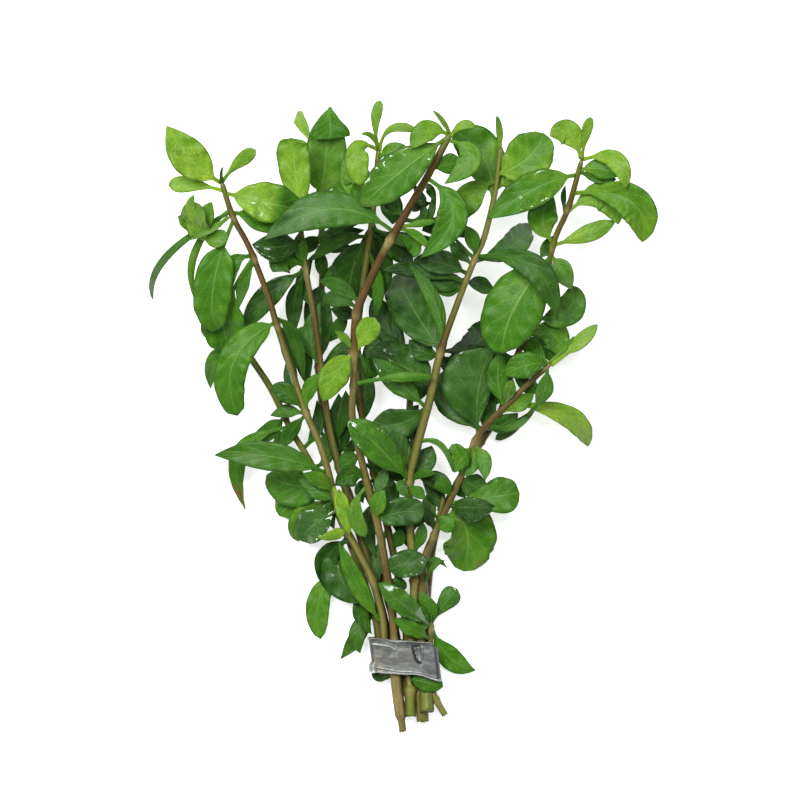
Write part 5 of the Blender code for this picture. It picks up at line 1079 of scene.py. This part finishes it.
def finish_of(name):
    """The material of a slot, all of them being made when the first is asked for."""
    if not FINISHES:
        colours = bpy.context.scene.hygrophila_colours
        wet = wet_group()
        blade = blade_group(veins_group(), wet)
        for slot, (strength, side_veins) in LEAF_FINISHES.items():
            FINISHES[slot] = plant_material(
                slot, blade, LEAF_BUMP, Light=tuple(colours.young), Middle=tuple(colours.middle),
                Dark=tuple(colours.dark), Vein_strength=strength, Side_veins=side_veins)
        FINISHES["stem"] = plant_material(
            "stem", stem_group(wet), STEM_BUMP, Olive=tuple(colours.stem), Fibre_strength=STEM_FIBRE_AND_LIGHT_STRENGTH)
        FINISHES["metal"] = metal_material(tuple(colours.metal))
    return FINISHES[name]


def new_object(name, data):
    """An object in the scene."""
    made = bpy.data.objects.new(name, data)
    bpy.context.scene.collection.objects.link(made)
    return made


def new_piece(form, name, material):
    """An object made of a mesh under edit, with its material."""
    mesh = bpy.data.meshes.new(name)
    form.to_mesh(mesh)
    form.free()
    mesh.materials.append(material)
    return new_object(name, mesh)


def put_in_place(form, name, slot, node):
    """Make a piece from a mesh under edit, and set it on the body in place of its plain node."""
    bmesh.ops.recalc_face_normals(form, faces=form.faces)
    piece = new_piece(form, name, finish_of(slot))
    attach(piece, BODY)
    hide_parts(node)
    return piece


def stem_axis(letter, y):
    """A stem's centre where it crosses the height y, its radius and its direction."""
    stem = STEMS[letter]
    top = stem.route[0][1]
    foot = stem.route[-1][1]
    y = limited(y, foot, top)
    for upper, lower in zip(stem.route, stem.route[1:]):
        if lower[1] <= y <= upper[1]:
            share = (upper[1] - y) / (upper[1] - lower[1])
            point = Vector(upper[:3]).lerp(Vector(lower[:3]), share)
            down = (top - y) / (top - foot)
            radius = stem.tip_radius + (stem.foot_radius - stem.tip_radius) * down
            direction = (Vector(upper[:3]) - Vector(lower[:3])).normalized()
            return point, radius, direction
    raise ValueError("stem " + letter + " has no point at " + str(y))


def half_width(leaf, along):
    """Half of the leaf's width at a share of its length."""
    outline = leaf.outline
    blade = (along - outline.stalk) / (1.0 - outline.stalk)
    if blade <= 0.0:
        return STALK_HALF_WIDTH
    widest = outline.grow / (outline.grow + outline.close)
    peak = widest ** outline.grow * (1.0 - widest) ** outline.close
    share = blade ** outline.grow * max(1.0 - blade, 0.0) ** outline.close / peak
    least = STALK_HALF_WIDTH + (TIP_HALF_WIDTH - STALK_HALF_WIDTH) * blade
    return max(share * leaf.width / 2.0, least)


def midrib(leaf):
    """The three points that steer a leaf's midrib, as a quadratic curve."""
    middle = Vector(leaf.middle)
    tip = Vector(leaf.tip)
    if len(leaf.root) == 3:
        start = Vector(leaf.root)
    else:
        start, radius, direction = stem_axis(*leaf.root)
        away = middle - start
        away = (away - direction * away.dot(direction)).normalized()
        start = start + away * radius * STALK_SINK
    return start, middle * 2.0 - (start + tip) / 2.0, tip


def blade_point(leaf, curve, length, seed, across, along):
    """A point of the blade: across is -1 to 1 and along is 0 to 1."""
    start, steer, tip = curve
    rest = 1.0 - along
    centre = start * rest ** 2 + steer * 2.0 * rest * along + tip * along ** 2
    tangent = (steer - start) * 2.0 * rest + (tip - steer) * 2.0 * along
    side = Vector((tangent.y, -tangent.x, 0.0))
    if side.length < SMALLEST_SIDE:
        side = Vector((1.0, 0.0, 0.0))
    side.normalize()
    up = side.cross(tangent).normalized()
    bow, roll, fold = [waver(seed * 3.1, number * 2.7, 7.0) for number in range(3)]
    size = min(length / LONG_BLADE, 1.0)
    centre += side * bow * BOW * length * math.sin(math.pi * along) * (1.0 - size)
    turn = roll * ROLL * (1.0 - ROLL_FADE * size) * min(along * ROLL_RATE, 1.0)
    side, up = side * math.cos(turn) + up * math.sin(turn), up * math.cos(turn) - side * math.sin(turn)
    decay = leaf.look.decay
    half = half_width(leaf, along)
    hand = 1.0 if across > 0.0 else -1.0
    if half > STALK_HALF_WIDTH:
        half *= 1.0 + leaf.lean * hand
    wobble = waver(along * length / WOBBLE_LENGTH, seed * 1.7, hand * 5.0)
    torn = decay * max(along - TORN_START, 0.0) * waver(along * length / TORN_LENGTH, seed, hand * 3.0)
    reach = half * across * (1.0 + (MARGIN_WOBBLE * wobble + TORN_DEPTH * torn) * abs(across))
    deep = FOLD + FOLD_SPREAD * fold
    rise = deep * (math.sqrt(reach ** 2 + FOLD_ROUNDING ** 2) - FOLD_ROUNDING)
    turns = along * length / WAVE_LENGTH + seed * WAVE_SHIFT + hand * WAVE_SIDE_SHIFT
    body = min(half / WAVE_WIDTH, WAVE_MOST) * min(along * WAVE_RATE, 1.0)
    wave = WAVE_HEIGHT * body * abs(across) ** WAVE_POWER * math.sin(2.0 * math.pi * turns)
    drift = waver(along * 2.2 + 9.0, seed * 0.9, hand * 0.6) * body * DRIFT * abs(across)
    curl = decay * along ** CURL_POWER * waver(along * 9.0, seed, across * 1.6) * CURL
    point = centre + side * reach + up * (rise + wave + drift + curl)
    point.z = max(point.z, FLOOR_CLEARANCE)
    return point


def new_blade_form():
    """An empty mesh under edit that can carry blades, with its chart, values and weights."""
    form = bmesh.new()
    form.loops.layers.uv.new(BLADE_MAP)
    for name in BLADE_VALUES:
        form.verts.layers.float.new(name)
    weights = form.verts.layers.deform.verify()
    # The values are looked up once all are made, because each new one moves the others
    values = {name: form.verts.layers.float[name] for name in BLADE_VALUES}
    return form, form.loops.layers.uv[BLADE_MAP], values, weights


def make_blades(name, slot, node, seeded, columns, rows):
    """Make a piece of one or more blades, each with its seed."""
    sizes = bpy.context.scene.hygrophila_sizes
    thin = sizes.blade_thickness / sizes.rib_thickness
    form, chart, values, weights = new_blade_form()
    for seed, leaf in seeded:
        look = leaf.look
        curve = midrib(leaf)
        length = (curve[0] - curve[1]).length + (curve[1] - curve[2]).length
        grid = bmesh.ops.create_grid(form, x_segments=columns, y_segments=rows, size=1.0)["verts"]
        spots = {}
        for corner in grid:
            x, y = corner.co.x, corner.co.y
            across = math.copysign(abs(x) ** COLUMN_SPREAD, x)
            along = (y + 1.0) / 2.0
            spots[corner] = ((across + 1.0) / 2.0, along)
            corner.co = blade_point(leaf, curve, length, seed, across, along) * MM
            rib = bell(abs(across) * half_width(leaf, along), RIB_HALF_WIDTH) * (1.0 - RIB_TAPER * along)
            corner[weights][0] = thin + (1.0 - thin) * rib
            patch = waver(across * 1.3 + seed, along * 2.4, seed * 0.7)
            light = look.light + PATCH_LIGHT * patch + BASE_LIGHT * look.light * (1.0 - along) ** BASE_POWER
            # Painted shade past the middle, where the blade turns away from the light
            corner[values[LIGHT]] = light - look.fade * limited((along - TIP_SHADE_START) * TIP_SHADE_RATE)
            # Painted sheen, rising from the foot towards the tip
            corner[values[PAINTED_SHEEN]] = look.grey * (SHEEN_FOOT + SHEEN_RISE * along + SHEEN_PATCH * patch)
            corner[values[WET]] = look.wet * (WET_LEVEL + WET_PATCH * patch)
            tip_decay = look.decay * limited((along - DECAY_START) * DECAY_RATE)
            corner[values[DECAY]] = tip_decay + DECAY_MARGIN * look.decay * abs(across)
        for face in {f for corner in grid for f in corner.link_faces}:
            face.smooth = True
            for loop in face.loops:
                loop[chart].uv = spots[loop.vert]
    piece = put_in_place(form, name, slot, node)
    piece.vertex_groups.new(name=RIB)
    solid = piece.modifiers.new("thickness", "SOLIDIFY")
    solid.thickness = sizes.rib_thickness
    solid.offset = 0.0
    solid.vertex_group = RIB


def leaf_slot(leaf):
    """The finish of a leaf: light ones are young, and dark ones are old ones and ones darkened by painted
    shade deep in the bunch.
    """
    if leaf.look.light > YOUNG_LIGHT:
        return "young_leaf"
    if leaf.look.light < OLD_LIGHT:
        return "old_leaf"
    return "leaf"


def edges_within(form, corners):
    """The edges whose two ends are both among some corners."""
    return [e for e in form.edges if e.verts[0] in corners and e.verts[1] in corners]


def extruded(form, corners):
    """The new corners of a ring extruded from the ring of some corners."""
    grown = bmesh.ops.extrude_edge_only(form, edges=edges_within(form, corners))["geom"]
    return [g for g in grown if isinstance(g, bmesh.types.BMVert)]


class MakeStems(bpy.types.Operator):
    """Build the stems with their swollen joints and cut ends"""

    bl_idname = "hygrophila.stems"
    bl_label = "Stems"

    def route(self, letter):
        """Close points down a smooth curve through the stem's route."""
        knots = [Vector(place[:3]) for place in STEMS[letter].route]
        knots = [knots[0] * 2.0 - knots[1]] + knots + [knots[-1] * 2.0 - knots[-2]]
        points = []
        for a, b, c, d in zip(knots, knots[1:], knots[2:], knots[3:]):
            count = max(int((c - b).length / STEM_STEP), 1)
            for index in range(count):
                t = index / count
                bend = (c - a) * t + (a * 2.0 - b * 5.0 + c * 4.0 - d) * t ** 2
                bend += (b * 3.0 - a - c * 3.0 + d) * t ** 3
                points.append(b + bend * 0.5)
        points.append(knots[-2])
        return points

    def radius(self, letter, point):
        """The stem's radius at a point, swollen at the leaf joints."""
        plain = stem_axis(letter, point.y)[1]
        for place in STEMS[letter].route:
            if place[3]:
                far = (point - Vector(place[:3])).length
                plain *= 1.0 + NODE_SWELL * bell(far, NODE_REACH)
                plain *= 1.0 + RIM_SWELL * bell(far, RIM_REACH)
        for name, foot, top, share in STEM_GIRTHS:
            if name == letter:
                inside = min(point.y - foot, top - point.y) / GIRTH_FADE
                plain *= 1.0 + (share - 1.0) * limited(inside + 0.5)
        return plain

    def ring(self, letter, y):
        """How near y is to the pale ring just below a leaf joint."""
        joints = [place[1] for place in STEMS[letter].route if place[3]]
        return max((bell(joint - RING_DROP - y, RING_REACH) for joint in joints), default=0.0)

    def tones(self, letter, y):
        """Brown, green and pale shares of the stem's colour at y."""
        table = STEM_TONES[letter]
        for upper, lower in zip(table, table[1:]):
            if y >= lower[0]:
                share = limited((upper[0] - y) / (upper[0] - lower[0]))
                return [u + (l - u) * share for u, l in zip(upper[1:], lower[1:])]
        return table[-1][1:]

    def next_ring(self, form, live):
        """Extrude the last ring, each new corner keeping the number of the one it comes from."""
        ring = {}
        for corner in extruded(form, live):
            old = next(e.other_vert(corner) for e in corner.link_edges if e.other_vert(corner) in live)
            ring[corner] = live[old]
        return ring

    def tube(self, letter):
        """The stem as rings extruded one from another along its route."""
        points = self.route(letter)
        draws = random.Random(ord(letter))
        form = bmesh.new()
        for name in STEM_VALUES:
            form.verts.layers.float.new(name)
        values = {name: form.verts.layers.float[name] for name in STEM_VALUES}
        circle = bmesh.ops.create_circle(form, cap_ends=False, segments=STEM_SIDES, radius=1.0)["verts"]
        first = list(circle)
        fibres = []
        for corner in first:
            angle = math.atan2(corner.co.y, corner.co.x)
            corner.co *= 1.0 + STEM_SQUARENESS * math.cos(4.0 * angle)
            fibres.append(draws.random())
        live = {corner: number for number, corner in enumerate(first)}
        turn = Vector((0.0, 0.0, 1.0)).rotation_difference(points[0] - points[1]).to_matrix()
        last = Matrix.Identity(4)
        before = None
        for index, point in enumerate(points):
            ahead = points[max(index - 1, 0)] - points[min(index + 1, len(points) - 1)]
            ahead.normalize()
            if before is not None:
                turn = before.rotation_difference(ahead).to_matrix() @ turn
                live = self.next_ring(form, live)
            before = ahead
            size = self.radius(letter, point)
            if index < len(TIP_ROUNDING):
                size *= TIP_ROUNDING[index]
            here = Matrix.Translation(point) @ turn.to_4x4() @ Matrix.Scale(size, 4)
            bmesh.ops.transform(form, matrix=here @ last.inverted(), verts=list(live))
            last = here
            brown, green, pale = self.tones(letter, point.y)
            paler = RING_PALENESS * self.ring(letter, point.y)
            for corner, number in live.items():
                upward = max((corner.co - point).normalized().z, 0.0)
                corner[values[BROWN]] = brown * (1.0 - paler)
                corner[values[GREEN]] = green
                corner[values[PALE]] = min(pale + paler, 1.0)
                # Painted light: brighter where the ring faces up, darker on the flanks, mixed with random
                # fibre streaks
                corner[values[FIBRE_AND_TOP_LIGHT]] = TOP_LIGHT_SHARE * upward ** TOP_LIGHT_POWER + (1.0 - TOP_LIGHT_SHARE) * fibres[number]
        return form, values, first, live, before, size, draws

    def close(self, form, values, first, live, along, size, draws):
        """Close the tip, and leave a ragged, hollowed cut at the foot."""
        bmesh.ops.contextual_create(form, geom=edges_within(form, first))
        slant = Vector((draws.uniform(-1, 1), draws.uniform(-1, 1), draws.uniform(-1, 1)))
        middle = sum((corner.co for corner in live), Vector()) / len(live)
        for corner in live:
            away = (corner.co - middle) / size
            corner.co -= along * (CUT_SLANT * away.dot(slant) + draws.uniform(0.0, CUT_RAGGEDNESS))
        inner = extruded(form, live)
        for corner in inner:
            corner.co = middle + (corner.co - middle) * CUT_INNER + along * CUT_HOLLOW
            corner[values[PALE]] = min(corner[values[PALE]] + CUT_PALENESS, 1.0)
        bmesh.ops.contextual_create(form, geom=edges_within(form, inner))

    def execute(self, context):
        """Build each stem in place of its plain one."""
        for letter in STEMS:
            form, values, first, live, along, size, draws = self.tube(letter)
            self.close(form, values, first, live, along, size, draws)
            bmesh.ops.scale(form, vec=Vector((MM, MM, MM)), verts=form.verts)
            for corner in form.verts:
                corner.co.z = max(corner.co.z, STEM_CLEARANCE * MM)
            for face in form.faces:
                face.smooth = len(face.verts) == 4
            put_in_place(form, "bare_stem_" + letter, "stem", "stem_" + letter)
        return {"FINISHED"}


class MakeLeaves(bpy.types.Operator):
    """Build the larger leaves one by one"""

    bl_idname = "hygrophila.leaves"
    bl_label = "Large leaves"

    def execute(self, context):
        """Build each large leaf in place of its plain one."""
        for number, (name, leaf) in enumerate(LEAVES.items()):
            seeded = [(float(number), leaf)]
            make_blades("blade_" + name, leaf_slot(leaf), "leaf_" + name, seeded, BLADE_COLUMNS, BLADE_ROWS)
        return {"FINISHED"}


class MakeSmallLeaves(bpy.types.Operator):
    """Build the smaller leaves, a group for each stem"""

    bl_idname = "hygrophila.small_leaves"
    bl_label = "Small leaves"

    def execute(self, context):
        """Build the small leaves, a piece for each stem and finish."""
        groups = {}
        for number, leaf in enumerate(SMALL_LEAVES):
            key = (leaf.root[0], leaf_slot(leaf))
            groups.setdefault(key, []).append((SMALL_SEED + number, leaf))
        for number, (letter, leaf) in enumerate(HANGING_BLADES):
            key = (letter, leaf_slot(leaf))
            groups.setdefault(key, []).append((HANGING_SEED + number, leaf))
        for (letter, slot), seeded in sorted(groups.items()):
            name = "small_" + slot + "_" + letter
            make_blades(name, slot, "stem_" + letter, seeded, SMALL_COLUMNS, SMALL_ROWS)
        return {"FINISHED"}


def strip_runs():
    """Each run of the strip's outline, left from the middle of its top: length, and bent or not."""
    flat = STRIP_WIDTH - 2.0 * STRIP_CORNER
    upright = STRIP_HEIGHT - 2.0 * STRIP_CORNER
    bend = (math.pi * STRIP_CORNER / 2.0, True)
    return ((flat / 2.0, False), bend, (upright, False), bend, (flat, False),
            bend, (upright, False), bend, (flat / 2.0, False))


def strip_outline(far, runs):
    """The point and direction of the strip's outline this far along its runs."""
    x, z, turn = 0.0, STRIP_HEIGHT, math.pi
    for size, bent in runs:
        run = min(far, size)
        if bent:
            middle_x = x - math.sin(turn) * STRIP_CORNER
            middle_z = z + math.cos(turn) * STRIP_CORNER
            turn += run / STRIP_CORNER
            x = middle_x + math.sin(turn) * STRIP_CORNER
            z = middle_z - math.cos(turn) * STRIP_CORNER
        else:
            x += math.cos(turn) * run
            z += math.sin(turn) * run
        far -= run
        if far <= 0.0:
            break
    return x, z, turn


def near_line(x, y, ends):
    """Distance of a place from a bent line."""
    place = Vector((x, y))
    least = math.inf
    for first, second in zip(ends, ends[1:]):
        start, run = Vector(first), Vector(second) - Vector(first)
        share = limited((place - start).dot(run) / run.length_squared)
        least = min(least, (place - start - run * share).length)
    return least


class MakeStrip(bpy.types.Operator):
    """Wind the soft metal strip round the stems"""

    bl_idname = "hygrophila.strip"
    bl_label = "Metal strip"

    def relief(self, x, y):
        """Rise of the strip's upper side at a place, and its painted light there: highlights on the creases
        and flutes, shade along the dent's edge.
        """
        rise = 0.0
        painted_light = 0.0
        for ends, height, width in CREASES:
            ridge = bell(near_line(x, y, ends), width)
            rise += height * ridge
            painted_light = max(painted_light, ridge * min(height * CREASE_SHINE, 1.0))
        away = ((x - DENT_MIDDLE[0]) / DENT_REACH[0]) ** 2 + ((y - DENT_MIDDLE[1]) / DENT_REACH[1]) ** 2
        inside = bell(away, 1.0)
        jagged = x + EDGE_JAG * waver(y * 1.6, 2.0, 5.0)
        edge = bell(near_line(jagged, y, DENT_EDGE), EDGE_WIDTH)
        flute = max(bell(near_line(x, y, line), FLUTE_WIDTH) for line in DENT_FLUTES)
        rise += FLUTE_HEIGHT * flute - DENT_DEPTH * inside - EDGE_DEPTH * edge
        rise += SWELL_HEIGHT * waver(x / 4.0, y / 3.0, 3.0)
        rise += DIMPLE_HEIGHT * waver(x / 1.1, y / 1.3, 8.0)
        return rise, max(painted_light, FLUTE_SHINE * flute) - EDGE_SHADE * edge

    def execute(self, context):
        """Wind a flat grid into the lapped strip."""
        form = bmesh.new()
        painted_light_layer = form.verts.layers.float.new(PAINTED_LIGHT)
        grid = bmesh.ops.create_grid(form, x_segments=STRIP_AROUND, y_segments=STRIP_ACROSS, size=1.0)
        runs = strip_runs()
        whole = sum(size for size, bent in runs)
        for corner in grid["verts"]:
            share = (corner.co.x + 1.0) / 2.0
            depth = corner.co.y
            run = share * STRIP_TURNS * whole
            x, z, turn = strip_outline((run - STRIP_START) % whole, runs)
            outward = Vector((math.sin(turn), 0.0, -math.cos(turn)))
            upper = max(outward.z, 0.0) ** 2
            y = depth * STRIP_DEPTH / 2.0
            lap = max(STRIP_TURNS - 1.0 - share * STRIP_TURNS, -LAP_DROP)
            rise = STRIP_GAP * min(lap + LAP_LEVEL, 1.0)
            end = max(1.0 - run / END_LENGTH, 0.0)
            x += end * END_RAGGEDNESS * waver(y / 1.5, 8.0, 1.0)
            bulge, painted_light = self.relief(x, y)
            rise += upper * bulge
            rim = abs(depth) ** RIM_POWER
            rise += rim * (RIM_RISE + RIM_RISE_SPREAD * waver(x / 3.0, depth, z / 3.0))
            if depth < 0.0:
                rise += CORNER_RISE * (rim * upper * limited((x - CORNER_START) / CORNER_SPREAD))
            tab = max(-outward.x, 0.0) * limited(-depth * TAB_RATE - TAB_START)
            rise += TAB_REACH * tab
            y -= DROOP * max(x - DROOP_START, 0.0) * (1.0 - depth) / 2.0
            y -= BEVEL * max(x - BEVEL_START, 0.0) * (1.0 + depth) / 2.0
            place = Vector((x, y, z)) + outward * rise
            place.y += STRIP_Y - STRIP_SLOPE * x + RIM_WAVE * waver(x / 5.0, depth * 2.0, 7.0)
            place.x += STRIP_X - STRIP_LEAN * y
            place.z = max(place.z, STRIP_CLEARANCE)
            corner.co = place * MM
            # Painted highlights on the rims, the creases and the tab, and painted shade along the dent's edge
            lower_rim = limited((-depth - LOWER_SHINE[0]) / LOWER_SHINE[1])
            upper_rim = limited((depth - UPPER_SHINE[0]) / UPPER_SHINE[1])
            rims = max(lower_rim, UPPER_SHINE_SHARE * upper_rim)
            corner[painted_light_layer] = painted_light * upper * (1.0 - rims) + rims + TAB_SHINE * tab
        for face in form.faces:
            face.smooth = True
        piece = put_in_place(form, "wound_strip", "metal", "metal_strip")
        solid = piece.modifiers.new("wall", "SOLIDIFY")
        solid.thickness = context.scene.hygrophila_sizes.strip_thickness
        solid.offset = 0.0
        return {"FINISHED"}


class MakeStage(bpy.types.Operator):
    """Lay the pale floor, hang the soft lights and set the camera overhead"""

    bl_idname = "hygrophila.stage"
    bl_label = "Floor, lights and camera"

    def lay_floor(self, scene):
        """A flat pale surface under the bunch."""
        form = bmesh.new()
        bmesh.ops.create_grid(form, x_segments=1, y_segments=1, size=FLOOR_HALF_WIDTH)
        floor = new_piece(form, "floor", floor_material(tuple(scene.hygrophila_colours.floor)))

    def light_room(self, scene):
        """The light of the room from all sides."""
        world = bpy.data.worlds.new("soft studio")
        scene.world = world
        world.use_nodes = True
        backdrop = world.node_tree.nodes["Background"].inputs
        graph = Graph(world.node_tree)
        path = graph.add("ShaderNodeLightPath").outputs
        graph.put(backdrop["Color"], ROOM_TONE)
        graph.put(backdrop["Strength"], graph.line(path["Is Glossy Ray"], ROOM_REFLECTION_LOSS, ROOM_LIGHT))

    def hang_lamp(self, name, place, size, power):
        """A square soft light aimed at the bunch."""
        light = bpy.data.lights.new(name, "AREA")
        light.size = size
        light.energy = power
        lamp = new_object(name, light)
        lamp.location = place
        aim = Vector(LAMP_AIM) - lamp.location
        lamp.rotation_euler = aim.to_track_quat("-Z", "Y").to_euler()

    def set_camera(self, scene):
        """A camera overhead that looks straight down."""
        lens = bpy.data.cameras.new("overhead camera")
        camera = new_object("overhead camera", lens)
        height = scene.hygrophila_sizes.camera_height
        camera.location = (VIEW_CENTRE[0] * MM, VIEW_CENTRE[1] * MM, height)
        lens.sensor_width = SENSOR
        lens.lens = SENSOR * (height - VIEW_LEVEL * MM) / (VIEW_WIDTH * MM)
        lens.clip_end = 10.0
        scene.camera = camera

    def execute(self, context):
        """Build the stage."""
        scene = context.scene
        self.lay_floor(scene)
        self.light_room(scene)
        for lamp in LAMPS:
            self.hang_lamp(*lamp)
        self.set_camera(scene)
        scene.view_settings.view_transform = "Standard"
        return {"FINISHED"}


class HygrophilaPanel(bpy.types.Panel):
    """The steps that build the bunch, and its sizes and colours"""

    bl_idname = "VIEW3D_PT_hygrophila"
    bl_label = "Bunched hygrophila"
    bl_space_type = "VIEW_3D"
    bl_region_type = "UI"
    bl_category = "Hygrophila"

    def draw(self, context):
        """List the operators, then the sizes and colours."""
        for step in STEPS:
            self.layout.operator(step.bl_idname)
        for group in (context.scene.hygrophila_sizes, context.scene.hygrophila_colours):
            for name in group.bl_rna.properties.keys():
                if name not in ("rna_type", "name"):
                    self.layout.prop(group, name)


STEPS = (MakeStems, MakeLeaves, MakeSmallLeaves, MakeStrip, MakeStage)
CLASSES = (HygrophilaSizes, HygrophilaColours, *STEPS, HygrophilaPanel)


def register():
    """Add the classes and their settings."""
    for kind in CLASSES:
        bpy.utils.register_class(kind)
    bpy.types.Scene.hygrophila_sizes = bpy.props.PointerProperty(type=HygrophilaSizes)
    bpy.types.Scene.hygrophila_colours = bpy.props.PointerProperty(type=HygrophilaColours)


def unregister():
    """Take the classes and their settings away again."""
    del bpy.types.Scene.hygrophila_colours
    del bpy.types.Scene.hygrophila_sizes
    for kind in reversed(CLASSES):
        bpy.utils.unregister_class(kind)


def main():
    """Build the bunch on its stage."""
    register()
    bpy.ops.hygrophila.stems()
    bpy.ops.hygrophila.leaves()
    bpy.ops.hygrophila.small_leaves()
    bpy.ops.hygrophila.strip()
    bpy.ops.hygrophila.stage()


if __name__ == "__main__":
    main()
